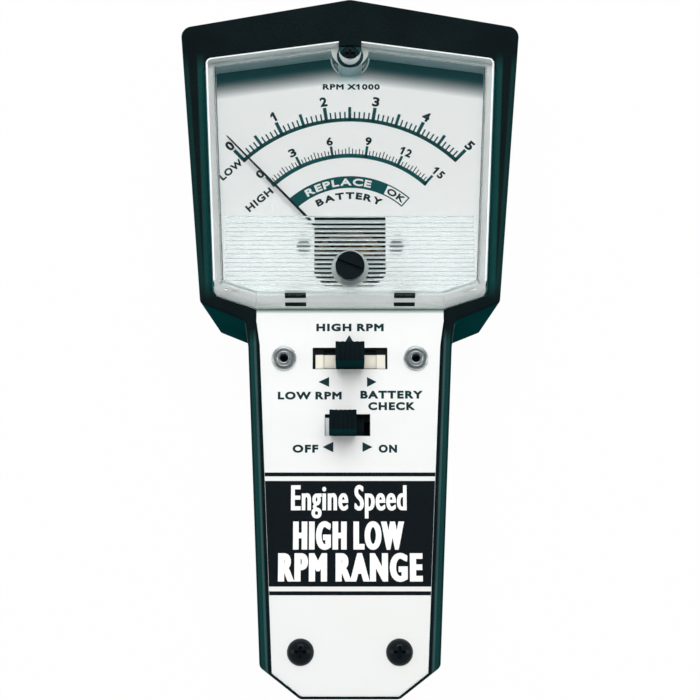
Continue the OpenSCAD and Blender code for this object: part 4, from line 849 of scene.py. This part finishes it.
def buildCase():
    s = caseShape
    rings = []
    for z, inward in rounding(s["backRound"], s["backSteps"]):
        rings.append((z, caseOutline(lean(z) + inward, inward, inward)))
    for inward, drop in rounding(s["rimRound"], s["rimSteps"]):
        rings.append((level["face"] - drop, caseOutline(inward, inward * s["endRimShare"], inward)))
    shell = loft(rings)
    cavity = []
    for rise, narrowing in rounding(s["innerRound"], s["innerSteps"]):
        z, inward = s["wall"] + rise, s["wall"] + narrowing
        cavity.append((z, caseOutline(lean(z) + inward, inward, inward)))
    cavity.append((level["ledge"], caseOutline(lean(level["ledge"]) + s["wall"], s["wall"], s["wall"])))
    top, brim = level["face"] + 1, level["face"] + bite
    plateTopY = place["plateHead"] + s["lensGap"]
    footY = place["foot"] - 1
    half, rim, gap = s["gripHalf"] - s["rimWidth"], s["rimWidth"], s["lensGap"]
    bevelBar = loft([(z, [(-x, footY), (-x, plateTopY), (x, plateTopY), (x, footY)])
                     for z, x in ((level["plateTop"], half), (brim, half + s["plateBevel"]))])
    plateBevel = clip(loft([(z, caseOutline(side, s["footRim"], side))
                            for z, side in ((level["plateTop"], rim), (brim, rim - s["plateBevel"]))]),
                      [bevelBar])
    lensBevel = loft([(level["face"] - s["lensBevelDepth"], openingOutline(bite - gap, bite - gap)),
                      (brim, openingOutline(bite - gap, -gap - s["lensBevel"]))])
    ledge = level["ledge"] - bite
    carve(shell, [
        loft(cavity),
        prism(lensOutline(-gap, -gap), ledge, top),
        plateArea(rim, s["footRim"], plateTopY, level["plate"], top),
        plateArea(rim + s["ledge"], s["wall"], place["lensFoot"], ledge, top),
        plateBevel,
        lensBevel,
    ])
    fuse(shell, buildPosts(s["wall"] - bite))
    piece = asPiece("caseShell", [shell], finishes["case"], "case", smooth=30,
                    replaced=["case_shell"])
    piece.data.materials.append(finishes["jaw"])
    # the jaw finish given to these walls is painted light
    for face in piece.data.polygons:  # the two sloping walls under the head
        x, y, z = face.center / mm
        atNeck = abs(x) > s["jawBeyond"] and abs(y) < s["jawWithin"]
        if atNeck and face.normal.y < s["jawFacing"] and abs(face.normal.z) < s["jawUpright"]:
            face.material_index = 1


buildCase()
print("case built")


# Lens: a clear shell with a rounded edge, a notch ring, reeds in the lower part and catches at its foot
lensShape = {
    "wall": 2.0, "slopeSplit": 36.0, "draft": 0.3, "round": 0.8, "roundSteps": 6, "footSlope": 2.7,
    "notchHalf": 3.1, "notchRing": 2.0, "innerHalf": 33.1, "reedTop": 29.34, "reedCount": 16,
    "reedPitch": 1.215, "reedWidth": 0.66, "reedDepth": 0.22, "firstReed": 30.75, "firstWidth": 0.4,
    "firstDepth": 0.3, "reedRoot": 0.3, "stripTall": 0.25, "bossRadius": 4.95, "bossDrop": 1.2,
    "neckRadius": 3.0, "catchX": 14.4, "catchWidth": 5.6, "catchReach": 6,
    "windows": ((34.6, 1.3), (37.6, 1.18)),  # height and opening of the slots of each catch
}
lensFinishes = ["lens", "lensWall", "lensReed", "lensTop", "lensEdge", "lensCatch", "lensFoot"]
# Where its finishes lie, in millimetres, and how much of a face's normal points up, sideways or down the lens
lensZones = {
    "middleY": 43, "footBelow": 12, "catchBelow": 10, "screwClear": 8, "reedHalf": 30,
    "flat": 0.9, "squareOn": 0.95, "upright": 0.3, "rounded": (0.1, 0.985), "facing": 0.8,
}


def lensBody(thin):
    s = lensShape
    top = level["lensFront"] - thin
    slope = s["footSlope"] * (top - s["round"] - level["face"]) / (level["lensFront"] - level["face"])
    rings = [(level["dial"] - (1 if thin else 0), lensOutline(thin, thin)),
             (level["face"], lensOutline(thin, thin))]
    if not thin:
        rings.append((s["slopeSplit"], lensOutline(s["draft"] / 2, slope / 2)))
    for inward, drop in rounding(s["round"], s["roundSteps"]):
        rings.append((top - drop, lensOutline(thin + s["draft"] + inward, thin + slope + inward)))
    return loft(rings)


def notchArea(radius, low, high, beyond=110, steps=32):
    outline = [(radius, beyond), (radius, place["notch"])]
    outline += [(radius * math.cos(a), place["notch"] + radius * math.sin(a))
                for a in (-math.pi * k / steps for k in range(1, steps))]
    outline += [(-radius, place["notch"]), (-radius, beyond)]
    return prism(outline, low, high)


def reedSolids():
    s = lensShape
    half, inner = s["innerHalf"], level["lensInner"]
    rooted = inner + s["reedRoot"]
    profile = []
    for i in range(s["reedCount"]):
        y = s["reedTop"] - i * s["reedPitch"]
        middle = (y - s["reedWidth"] / 2, inner - s["reedDepth"])
        profile += [(y, inner), middle, (y - s["reedWidth"], inner)]
    low = s["reedTop"] - s["reedCount"] * s["reedPitch"]
    profile += [(low, inner), (low, rooted), (s["reedTop"], rooted)]
    first, wide = s["firstReed"], s["firstWidth"]
    step = [(first, rooted), (first, inner), (first - wide / 2, inner - s["firstDepth"]),
            (first - wide, inner), (first - wide, rooted)]
    strip = slab((2 * half, s["stripTall"], 0.4), 0, s["reedTop"] + s["stripTall"] / 2, inner - 0.1)
    return [drawn(-half, half, profile), drawn(-half, half, step), strip]


def lensFinish(centre, normal):  # what the part of the lens round a face is finished as
    s, zone = lensShape, lensZones
    x, y, z = centre
    inner, edge = level["lensInner"], level["lensFront"] - s["round"]
    outward = normal.x * x + normal.y * (y - zone["middleY"]) > 0
    fromScrew = math.hypot(x, y - place["zeroScrew"])
    leaning, atFoot = abs(normal.z) < zone["flat"], y < zone["footBelow"]
    inColumn = abs(abs(x) - s["catchX"]) < s["catchWidth"] / 2 + 0.1 and y < zone["catchBelow"]
    boxed = not leaning or abs(normal.x) > zone["flat"] or normal.y < -zone["squareOn"]
    if inColumn and boxed and any(low - 0.05 < z < low + tall + 0.05 for low, tall in s["windows"]):
        return "lensCatch"
    onBoss = fromScrew < s["bossRadius"] and not leaning and z < inner - 0.5
    onReed = abs(z - (inner - s["reedDepth"] / 2)) < 0.06 and y < s["firstReed"] + 0.1
    if onBoss or (onReed and abs(x) < zone["reedHalf"]):
        return "lensReed"
    if outward and atFoot and z < s["slopeSplit"] and leaning:
        return "lensFoot"
    if outward and atFoot and s["slopeSplit"] < z < edge:
        return "lensEdge"
    inside = not outward and z < inner + bite and fromScrew > zone["screwClear"]
    if inside and abs(normal.z) < zone["upright"]:
        return "lensTop" if normal.y < -zone["facing"] else "lensWall"
    if normal.y > zone["upright"] and atFoot and z < inner - bite and leaning:
        return "lensFoot"
    if outward and not atFoot and z > edge - 0.1 and zone["rounded"][0] < normal.z < zone["rounded"][1]:
        return "lensEdge"
    return "lens"


def buildLens():
    s = lensShape
    screwY = place["zeroScrew"]
    shell = carve(lensBody(0), [lensBody(s["wall"])])
    ring = clip(notchArea(s["notchHalf"] + s["notchRing"], level["dial"], 60), [lensBody(0)])
    boss = drum(s["bossRadius"], level["lensInner"] - s["bossDrop"], level["lensFront"] - 0.5, 0, screwY)
    fuse(shell, [ring, boss] + reedSolids())
    cuts = [notchArea(s["notchHalf"], level["dial"] - 1, 60), drum(s["neckRadius"], 30, 60, 0, screwY)]
    for side in (-1, 1):
        for low, tall in s["windows"]:
            size = (s["catchWidth"], s["catchReach"], tall)
            cuts.append(slab(size, side * s["catchX"], place["lensFoot"], low))
    carve(shell, cuts)
    lens = asPiece("meterLens", [shell], finishes["lens"], "case", smooth=30,
                   replaced=["meter_lens"])
    for name in lensFinishes[1:]:
        lens.data.materials.append(finishes[name])
    for face in lens.data.polygons:
        face.material_index = lensFinishes.index(lensFinish(face.center / mm, face.normal))


buildLens()
print("lens built")


# Pointer: hub and tail under the dial, a crank through the window and a tapered needle over the dial
pointerShape = {
    "angle": 133.6, "length": 49.0, "root": 0.8, "tip": 0.36, "point": 0.6, "hub": 1.8, "bore": 0.95,
    "hubTall": 0.8, "tail": 6.0, "arm": (33.0, 33.3), "crank": (5.3, 9.5), "bar": 0.5,
    "sideArm": 4.9, "sideWide": 0.7,
}


def buildPointer():
    s = pointerShape
    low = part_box("pointer")[0][2] / mm
    top = low + s["bar"]
    near, far = s["crank"]
    armLow, armHigh = s["arm"]
    half, tip, shoulder = s["root"] / 2, s["tip"] / 2, s["length"] - s["point"]

    def bored(piece):
        return carve(piece, [drum(s["bore"], low - 1, low + 2, sides=32)])

    hub = bored(drum(s["hub"], low, low + s["hubTall"], sides=48))
    tail = prism([(-half, -s["tail"]), (-half, near), (half, near), (half, -s["tail"])], low + bite, top)
    crank = drawn(-half, half, [(near - 0.4, low + bite), (near - 0.4, top), (far - 0.1, armHigh),
                                (far + 0.4, armHigh), (far + 0.4, armLow), (far, armLow)])
    needle = prism([(-half, far), (-tip, shoulder), (0, s["length"]), (tip, shoulder), (half, far)],
                   armLow, armHigh)
    side = bored(slab((2 * s["sideArm"], s["sideWide"], s["bar"] - 0.02), 0, 0, low + 0.02))
    arm = fuse(hub, [bored(tail), crank, needle, side])
    turning = Matrix.Rotation(math.radians(s["angle"] - 90), 4, "Z")
    arm.data.transform(Matrix.Translation((0, place["pivot"], 0)) @ turning)
    asPiece("pointerArm", [arm], finishes["pointer"], "pointer_arm", smooth=30,
            replaced=["pointer"])


buildPointer()
print("pointer built")


# Rivets: a rolled tubular head with a lip around its bore, and a flared tail under the switch frame
rivetShape = {
    "x": 17.45, "headRadius": 3.3, "headEdge": 0.3, "headBevel": (0.15, 0.12), "boreTop": 0.85,
    "shank": 1.6, "bore": 1.1, "tail": 2.4, "frame": 0.8, "tailTall": 1.1, "tailBevel": (0.3, 0.25),
    "dome": (2.35, 0.3, 0.95, 0.72), "domeTurns": (15, 30, 45, 60, 75, 90),
    "dish": ((2.15, 1.0), (2.0, 0.9), (1.9, 0.88), (1.8, 0.95)),
    "lip": (1.5, 0.98, 0.34, 0.32), "lipTurns": (20, 50, 80, 110, 140, 170),
}


def arcProfile(arc, turns, base):  # arc: middle radius, middle height, half width and half height
    radius, height, wide, tall = arc
    angles = [math.radians(turn) for turn in turns]
    return [(radius + wide * math.cos(a), base + height + tall * math.sin(a)) for a in angles]


def buildRivets():
    s = rivetShape
    base, tail = level["plateTop"], level["plate"] - s["frame"]
    low = tail - s["tailTall"]
    bevel, inner = s["tailBevel"]
    inset, rise = s["headBevel"]
    profile = [(s["bore"], low), (s["tail"] - bevel, low), (s["tail"], low + bevel),
               (s["tail"], tail - bevel), (s["tail"] - inner, tail), (s["shank"], tail),
               (s["shank"], base), (s["headRadius"] - inset, base), (s["headRadius"], base + rise),
               (s["headRadius"], base + s["headEdge"])]
    profile += arcProfile(s["dome"], s["domeTurns"], base)
    profile += [(radius, base + height) for radius, height in s["dish"]]
    profile += arcProfile(s["lip"], s["lipTurns"], base)
    profile += [(s["bore"], base + s["boreTop"])]
    both = [turned(profile, side * s["x"], place["range"]) for side in (-1, 1)]
    asPiece("rivets", both, finishes["rivet"], "case", smooth=40, replaced=["rivets"])


buildRivets()
print("rivets built")


# Lettering: outlines of the built-in face, fitted to a width and a height and made bolder
printShape = {"thickness": 0.03, "lift": 0.004, "overprint": 0.034, "curveSteps": 7, "mitre": 0.6}
sameSpot = 1e-4  # points closer than this are one
oneFlag = {"inside": 0.01, "reach": 0.26, "drops": (0.0, 0.2, 0.38, 0.24)}  # shares of the height


def letterOutlines(body):  # closed outlines as points, in units of the font size
    text = bpy.data.curves.new("text", "FONT")
    text.body = body
    holder = bpy.data.objects.new("text", text)
    bpy.context.scene.collection.objects.link(holder)
    curve = holder.to_curve(bpy.context.evaluated_depsgraph_get())
    outlines = []
    for spline in curve.splines:
        spots = spline.bezier_points
        outline = []
        for i, spot in enumerate(spots):
            following = spots[(i + 1) % len(spots)]
            run = interpolate_bezier(spot.co, spot.handle_right, following.handle_left, following.co,
                                     printShape["curveSteps"])
            outline += [point.to_2d() for point in run[:-1]]
        apart = [(point - last).length > sameSpot for point, last in zip(outline, [outline[-1]] + outline)]
        outlines.append([point for point, kept in zip(outline, apart) if kept])
    holder.to_curve_clear()
    bpy.data.objects.remove(holder)
    bpy.data.curves.remove(text)
    if body == "1":  # the plain bar gets a flag
        x0, y0, x1, y1 = letterBox(outlines)
        tall = y1 - y0
        near, far = x0 + oneFlag["inside"], x0 - oneFlag["reach"] * tall
        flag = [Vector((x, y1 - drop * tall)) for x, drop in zip((near, near, far, far), oneFlag["drops"])]
        outlines.append(flag if area(flag) * area(outlines[0]) > 0 else flag[::-1])
    return outlines


def letterBox(outlines):
    across = [point.x for outline in outlines for point in outline]
    up = [point.y for outline in outlines for point in outline]
    return min(across), min(up), max(across), max(up)


def area(points):
    return sum(a[0] * b[1] - b[0] * a[1] for a, b in zip(points, points[1:] + points[:1])) / 2


def widened(points, by, side):  # edges move outward, upright ones by by[0] and level ones by by[1]
    made = []
    for before, point, after in zip([points[-1]] + points, points, points[1:] + points[:1]):
        u, w = (point - before).normalized(), (after - point).normalized()
        n = (Vector((u.y, -u.x)) + Vector((w.y, -w.x))).normalized() * side
        reach = 1 / max(n.dot(Vector((u.y, -u.x)) * side), printShape["mitre"])
        made.append(point + Vector((n.x * by[0], n.y * by[1])) * reach)
    return made


def around(point, outline):  # how many times the outline runs round the point
    turns = 0
    for a, b in zip(outline, outline[1:] + outline[:1]):
        side = (b.x - a.x) * (point.y - a.y) - (point.x - a.x) * (b.y - a.y)
        if a.y <= point.y < b.y and side > 0:
            turns += 1
        elif b.y <= point.y < a.y and side < 0:
            turns -= 1
    return turns


def flatPrint(outlines, base):  # outlines may cross; what they run round once or more is filled
    points, edges = [], []
    reach = [letterBox([outline]) for outline in outlines]
    for outline in outlines:
        first = len(points)
        points += outline
        edges += [(first + i, first + (i + 1) % len(outline)) for i in range(len(outline))]
    meshed = delaunay_2d_cdt(points, edges, [], 0, sameSpot)
    spots, triangles = meshed[0], meshed[2]
    kept = []
    for triangle in triangles:
        middle = sum((spots[i] for i in triangle), Vector((0, 0))) / len(triangle)
        near = [outline for outline, (x0, y0, x1, y1) in zip(outlines, reach)
                if x0 < middle.x < x1 and y0 < middle.y < y1]
        if sum(around(middle, outline) for outline in near) > 0:
            kept.append(tuple(triangle))
    count = len(spots)
    top = base + printShape["thickness"]
    walls = {(a, b) for t in kept for a, b in zip(t, t[1:] + t[:1])}
    faces = [tuple(i + count for i in t) for t in kept] + [t[::-1] for t in kept]
    faces += [(a, b, b + count, a + count) for a, b in sorted(walls) if (b, a) not in walls]
    return solid([(p.x, p.y, base) for p in spots] + [(p.x, p.y, top) for p in spots], faces)


# One letter's outlines, scaled, slid along, made bolder, turned and moved to their place
def letters(outlines, shift, scale, bold, turn, at, slide=0.0):
    placed = [[Vector(((p.x - shift[0]) * scale[0] + slide, (p.y - shift[1]) * scale[1])) for p in outline]
              for outline in outlines]
    side = 1 if area(max(placed, key=lambda outline: abs(area(outline)))) > 0 else -1
    turning = Matrix.Rotation(turn, 2)
    made = [[turning @ p + Vector(at) for p in widened(outline, bold, side)] for outline in placed]
    return made if side > 0 else [outline[::-1] for outline in made]


# A word centred on x and y, its turn in degrees; pack under 1 lets the bolder letters close up
def word(body, x, y, wide, tall, bold, turn=0.0, pack=1.0):
    spots = [k for k, letter in enumerate(body) if letter != " "]
    boxes = [letterBox(letterOutlines(body[k])) for k in spots]
    rights = [letterBox(letterOutlines(body[:k + 1]))[2] for k in spots]
    lefts = [right - (box[2] - box[0]) for right, box in zip(rights, boxes)]
    low, high = min(box[1] for box in boxes), max(box[3] for box in boxes)
    added = 2 * bold[0] * pack
    free = wide - 2 * bold[0] - added * (len(spots) - 1)
    scale = (free / (rights[-1] - lefts[0]), (tall - 2 * bold[1]) / (high - low))
    middle = (low + high) / 2
    made = []
    for i, k in enumerate(spots):
        slide = (lefts[i] - lefts[0]) * scale[0] + added * i + bold[0] - wide / 2
        made += letters(letterOutlines(body[k]), (boxes[i][0], middle), scale, bold,
                        math.radians(turn), (x, y), slide)
    return made


# A word whose letters stand on a circle through their middles, spread by their own widths
def arcWord(body, centre, radius, fromAngle, toAngle, tall, bold, squeeze):
    boxes = [letterBox(letterOutlines(letter)) for letter in body]
    widths = [x1 - x0 for x0, y0, x1, y1 in boxes]
    height = max(y1 for x0, y0, x1, y1 in boxes) - min(y0 for x0, y0, x1, y1 in boxes)
    total = math.radians(abs(toAngle - fromAngle)) * radius
    gap = total * (1 - squeeze) / (len(body) - 1)
    share = (total - gap * (len(body) - 1) - 2 * bold[0] * len(body)) / sum(widths)
    made = []
    run = 0.0
    for letter, box, wide in zip(body, boxes, widths):
        taken = wide * share + 2 * bold[0]
        angle = math.radians(fromAngle) - (run + taken / 2) / radius
        at = (centre[0] + radius * math.cos(angle), centre[1] + radius * math.sin(angle))
        made += letters(letterOutlines(letter), ((box[0] + box[2]) / 2, (box[1] + box[3]) / 2),
                        (share, (tall - 2 * bold[1]) / height), bold, angle - math.pi / 2, at)
        run += taken + gap
    return made


def asPrints(prints):
    for name, solids, finish in prints:
        asPiece(name, solids, finishes[finish], "case", smooth=20)


def patch(points, base):  # flat printed shape
    outline = points if area(points) < 0 else points[::-1]
    return prism(outline, base, base + printShape["thickness"])


def arcBand(centre, low, high, fromAngle, toAngle, base, steps=72):
    turns = [math.radians(fromAngle + (toAngle - fromAngle) * k / steps) for k in range(steps + 1)]
    outer = [(centre[0] + high * math.cos(a), centre[1] + high * math.sin(a)) for a in turns]
    inner = [(centre[0] + low * math.cos(a), centre[1] + low * math.sin(a)) for a in reversed(turns)]
    return patch(outer + inner, base)


def tickMark(centre, low, high, angle, wide, base):
    a = math.radians(angle)
    along = Vector((math.cos(a), math.sin(a)))
    across = Vector((-along.y, along.x)) * wide / 2
    near, far = Vector(centre) + along * low, Vector(centre) + along * high
    return patch([tuple(near - across), tuple(near + across), tuple(far + across), tuple(far - across)], base)


# Dial: an outer and an inner scale, the battery band and the words beside the scales
dialShape = {
    "outer": {
        "centre": (0.0, 18.6), "zero": 134.1, "full": 46.1, "band": (41.0, 42.05), "major": 45.5,
        "half": 45.2, "minor": 43.85, "number": 47.25, "drop": 0.0, "tall": 2.75, "step": 1,
        "majorWide": 0.95, "halfWide": 0.8, "minorWide": 0.42, "bold": (0.16, 0.15), "trim": 0.6,
    },
    "inner": {
        "centre": (0.0, 19.6), "zero": 133.5, "full": 47.4, "band": (29.6, 30.7), "major": 33.2,
        "half": 32.6, "minor": 31.9, "number": 35.6, "drop": 0.95, "tall": 2.35, "step": 3,
        "majorWide": 0.7, "halfWide": 0.26, "minorWide": 0.26, "bold": (0.14, 0.13), "trim": 0.9,
    },
    "battery": {
        "centre": (0.0, 19.6), "low": 20.95, "high": 24.3, "start": 133.3, "split": 64.5, "end": 48.2,
        "line": 0.34,
    },
    "ticks": 50, "evenTick": 0.3, "tickRoot": 0.3, "fineRoot": 0.1,
    "numberWidths": {"0": 1.95, "1": 1.35, "2": 1.95, "3": 1.95, "4": 2.1, "5": 1.95, "6": 1.7, "9": 1.7,
                     "12": 3.3, "15": 3.3},
    "words": [("RPM X1000", 0.35, 69.7, 15.7, 1.65, (0.12, 0.11)),
              ("LOW", -32.45, 45.75, 7.4, 2.05, (0.12, 0.12), 42.0),
              ("HIGH", -24.6, 37.2, 8.6, 2.1, (0.12, 0.12), 41.0)],
    "arcWords": [("BATTERY", 18.75, 119.0, 63.0, 1.95, (0.15, 0.14), 0.86),
                 ("OK", 22.65, 63.2, 50.0, 1.9, (0.11, 0.11), 0.92)],
    "lightWord": ("REPLACE", 22.62, 121.9, 75.2, 2.1, (0.12, 0.12), 0.86),
}


def spotOn(part, radius, share):  # angle and place of a share of the scale
    angle = part["zero"] + (part["full"] - part["zero"]) * share
    x = part["centre"][0] + radius * math.cos(math.radians(angle))
    y = part["centre"][1] + radius * math.sin(math.radians(angle))
    return angle, x, y - part["drop"]


def scaleNumbers(part):
    words = []
    for k in range(6):
        body = str(part["step"] * k)
        angle, x, y = spotOn(part, part["number"], k / 5)
        words += word(body, x, y, dialShape["numberWidths"][body], part["tall"], part["bold"], angle - 90)
    return words


def scaleTick(part, k, low, base, longer=0.0):
    kind = "major" if k % 10 == 0 else "half" if k % 5 == 0 else "minor"
    angle = spotOn(part, 1, k / dialShape["ticks"])[0]
    return tickMark(part["centre"], low, part[kind] + longer, angle, part[kind + "Wide"], base)


def buildDialPrint():
    s = dialShape
    outer, inner, battery = s["outer"], s["inner"], s["battery"]
    base = level["dialTop"] + printShape["lift"]
    scale, fine, words = [], [], []
    for part in (outer, inner):
        low, high = part["band"]
        scale.append(arcBand(part["centre"], low, high, part["zero"] + part["trim"],
                             part["full"] - part["trim"], base))
        for k in range(s["ticks"] + 1):
            if part is outer or k % 10 == 0:
                scale.append(scaleTick(part, k, low + s["tickRoot"], base))
            else:  # the fine ticks of the inner scale, every second one a little longer
                longer = s["evenTick"] if k % 2 == 0 else 0.0
                fine.append(scaleTick(part, k, high - s["fineRoot"], base, longer))
        words += scaleNumbers(part)
    centre, line = battery["centre"], battery["line"]
    low, high, split, end = battery["low"], battery["high"], battery["split"], battery["end"]
    scale += [arcBand(centre, low, high, battery["start"], split, base),
              arcBand(centre, high - line, high, split, end, base, 16),
              arcBand(centre, low, low + line, split, end, base, 16),
              tickMark(centre, low, high, end + 0.3, line, base)]
    for body, *settings in s["arcWords"]:
        words += arcWord(body, centre, *settings)
    for settings in s["words"]:
        words += word(*settings)
    body, *settings = s["lightWord"]
    light = flatPrint(arcWord(body, centre, *settings), base + printShape["overprint"])
    asPrints([("dialScalePrint", scale, "scaleInk"), ("dialFineTicks", fine, "legendInk"),
                      ("dialNumberPrint", [flatPrint(words, base)], "legendInk"),
                      ("dialLightPrint", [light], "lightInk")])


buildDialPrint()
print("dial printed")


# Front plate: switch legends, arrows, two rules and the dark band with its light lettering
plateShape = {
    "black": [(-37.4, -38.4), (-39.6, -66.8), (-68.0, -69.0)],
    "topCorner": (27, -3.8), "footCorner": (23, -87), "edge": 3.16, "bold": (0.17, 0.15),
    "words": [("HIGH RPM", 0.0, 1.35, 17.9, 2.1), ("LOW RPM", -10.6, -17.05, 16.8, 2.12),
              ("BATTERY", 10.9, -16.8, 16.3, 2.12), ("CHECK", 10.9, -19.87, 12.2, 2.15),
              ("OFF", -11.65, -31.15, 6.7, 2.15), ("ON", 9.9, -31.15, 4.8, 2.15)],
    "arrows": [(-8.35, -13.4, -5.5, 2.64), (7.03, -13.4, 4.49, 2.64), (-7.19, -30.7, -4.36, 2.8),
               (5.88, -30.7, 3.27, 2.6)],
    "topArrow": [(-0.2, -0.75), (1.3, -3.3), (-1.7, -3.3)],
    "light": [("Engine Speed", -0.3, -45.0, 30.0, 8.7, (0.24, 0.13), 0, 0.6),
              ("HIGH LOW", -0.4, -53.75, 28.6, 7.4, (0.5, 0.3), 0, 0.75),
              ("RPM RANGE", 0.1, -61.9, 37.2, 7.4, (0.52, 0.3), 0, 0.75)],
}


def plateHalf(y):  # half the width of the plate at y, between the grip's two corners
    top, foot = plateShape["topCorner"], plateShape["footCorner"]
    share = (top[1] - y) / (top[1] - foot[1])
    return top[0] + (foot[0] - top[0]) * share - plateShape["edge"]


def buildPlatePrint():
    s = plateShape
    base = level["plateTop"] + printShape["lift"]
    dark = [patch([(-plateHalf(a), a), (plateHalf(a), a), (plateHalf(b), b), (-plateHalf(b), b)], base)
            for a, b in s["black"]]
    words = [outline for settings in s["words"] for outline in word(*settings, s["bold"])]
    legend = [flatPrint(words, base)]
    for tip, y, foot, tall in s["arrows"]:
        legend.append(patch([(tip, y), (foot, y + tall / 2), (foot, y - tall / 2)], base))
    legend.append(patch(s["topArrow"], base))
    light = [flatPrint(word(*line), base + printShape["overprint"]) for line in s["light"]]
    asPrints([("plateBandPrint", dark, "bandInk"), ("plateLegendPrint", legend, "legendInk"),
                       ("plateLightPrint", light, "lightInk")])


buildPlatePrint()
print("plate printed")


# CAD nodes that stay: welded, softly bevelled and given their finish
softEdges = {
    "front_plate": 0.08, "plate_screws": 0.1, "top_screw": 0.1, "zero_screw": 0.16, "range_knob": 0.32,
    "power_knob": 0.32, "range_carrier": 0.15, "dial_plate": 0.05, "battery_can": 1.2,
    "battery_clip": 0.5, "battery_foam": 0.8, "meter_base": 0.12, "core_magnet": 0.3,
    "circuit_board": 0.1, "film_capacitors": 0.6, "electrolytic_capacitors": 0.4, "resistors": 0.25,
    "diodes": 0.2, "pickup_rod": 0.3, "pickup_winding": 0.3, "logic_chips": 0.12, "trimmers": 0.2,
    "battery_studs": 0.2, "yoke_ring": 0.15, "range_frame": 0.08, "power_frame": 0.08,
}
nodeEdge = {"weld": 0.002, "width": 0.05, "wide": 0.2, "angle": 35}
ownFinish = {
    "coil_winding": "coil", "pickup_winding": "pickup", "meter_base": "tray",
    "range_frame": "rangeFrame", "range_carrier": "rangeCarrier", "power_frame": "powerFrame",
    "power_base": "powerBase", "upper_bridge": "bridge", "yoke_ring": "yoke",
}
replacedNodes = {"case_shell", "meter_lens", "rivets", "pointer"}
slotOf = {part["node"]: part["material_slot"] for part in frame["record"]["subparts"]}


def dressNode(name, node):
    finish = finishes[ownFinish.get(name, slotOf[name])]
    if not node.material_slots:
        node.data.materials.append(finish)
    for slot in node.material_slots:
        slot.material = finish
    weld = node.modifiers.new("weld", "WELD")
    weld.merge_threshold = nodeEdge["weld"] * mm
    width = softEdges.get(name, nodeEdge["width"])
    edge = node.modifiers.new("edge", "BEVEL")
    edge.width = width * mm
    edge.segments = 3 if width > nodeEdge["wide"] else 2
    edge.limit_method = "ANGLE"
    edge.angle_limit = math.radians(nodeEdge["angle"])
    edge.harden_normals = True


for name, node in cadNodes.items():
    if name not in replacedNodes:
        dressNode(name, node)
print("nodes dressed")


# Studio: a pale floor, the main lamp over the dial, softer lamps beyond the head, foot and sides
studio = {
    "floor": 6.0, "floorDrop": 0.0003, "floorTone": (0.6, 0.605, 0.6), "floorGlow": 0.98,
    "main": {"at": (0.0, 0.45, 1.08), "size": (1.0, 0.7), "power": 12.5, "glints": False},
    "key": {"at": (0.0, 1.05, 0.85), "size": (0.9, 0.5), "power": 2.8},
    "front": {"at": (0.0, -0.62, 0.98), "size": (1.0, 0.6), "power": 3.7, "glints": False},
    "left": {"at": (-1.0, 0.0, 0.5), "size": (0.4, 0.8), "power": 1.2},
    "right": {"at": (1.0, 0.0, 0.5), "size": (0.4, 0.8), "power": 1.2},
    "overhead": 0.07, "horizon": 0.4, "skyFade": (0.15, 0.85), "lampTarget": (0, 0, 0.03),
    "camera": {"eye": (0, -88.06, 425.26), "target": (0, -4.9, 34), "focal": 77.76},
}


def buildFloor():
    half = studio["floor"] / 2
    mesh = bpy.data.meshes.new("floor")
    corners = [(-half, -half, 0), (half, -half, 0), (half, half, 0), (-half, half, 0)]
    mesh.from_pydata(corners, [], [(0, 1, 2, 3)])
    floor = bpy.data.objects.new("floor", mesh)
    bpy.context.scene.collection.objects.link(floor)
    floor.location.z = -studio["floorDrop"]
    finish = Finish("floorPale")
    matt = finish.add("BsdfDiffuse", {}, {"Color": studio["floorTone"]})
    glow = finish.add("Emission", {}, {"Color": (1, 1, 1), "Strength": 1.0})
    shown = finish.add("LightPath", out="Is Camera Ray") * studio["floorGlow"]
    mesh.materials.append(finish.close(finish.add("MixShader", {}, {0: shown, 1: matt, 2: glow})))


def buildWorld():
    world = bpy.data.worlds.new("studio")
    world.use_nodes = True
    bpy.context.scene.world = world
    sky = NodeTree(world.node_tree)
    direction = sky.add("TexCoord", out="Generated")
    shade = sky.span(sky.add("SeparateXYZ", {}, {0: direction}, "Z"), *studio["skyFade"])
    light = studio["horizon"] + shade * (studio["overhead"] - studio["horizon"])
    seen = sky.add("LightPath", out="Is Camera Ray")
    background = sky.add("Background", {}, {"Color": (1, 1, 1), "Strength": light * (1 - seen) + seen})
    sky.add("OutputWorld", {}, {"Surface": background})


def addLamp(name, at, size, power, glints=True):
    lamp = bpy.data.lights.new(name, "AREA")
    lamp.shape = "RECTANGLE"
    lamp.size, lamp.size_y = size
    lamp.energy = power
    holder = bpy.data.objects.new(name, lamp)
    holder.location = at
    aim = Vector(studio["lampTarget"]) - Vector(at)
    holder.rotation_euler = aim.to_track_quat("-Z", "Y").to_euler()
    holder.visible_transmission = False  # its light comes through the lens by the clear shadow alone
    holder.visible_glossy = glints
    bpy.context.scene.collection.objects.link(holder)


def addCamera(eye, target, focal):
    eye, target = Vector(eye) * mm, Vector(target) * mm
    lens = bpy.data.cameras.new("camera")
    lens.sensor_width = 36
    lens.lens = focal
    lens.clip_start = 0.01
    holder = bpy.data.objects.new("camera", lens)
    holder.location = eye
    holder.rotation_euler = (target - eye).to_track_quat("-Z", "Y").to_euler()
    bpy.context.scene.collection.objects.link(holder)
    bpy.context.scene.camera = holder


buildFloor()
buildWorld()
for lampName in ("main", "key", "front", "left", "right"):
    addLamp(lampName + "Lamp", **studio[lampName])
addCamera(**studio["camera"])
bpy.context.scene.view_settings.view_transform = "Standard"
print("studio set")
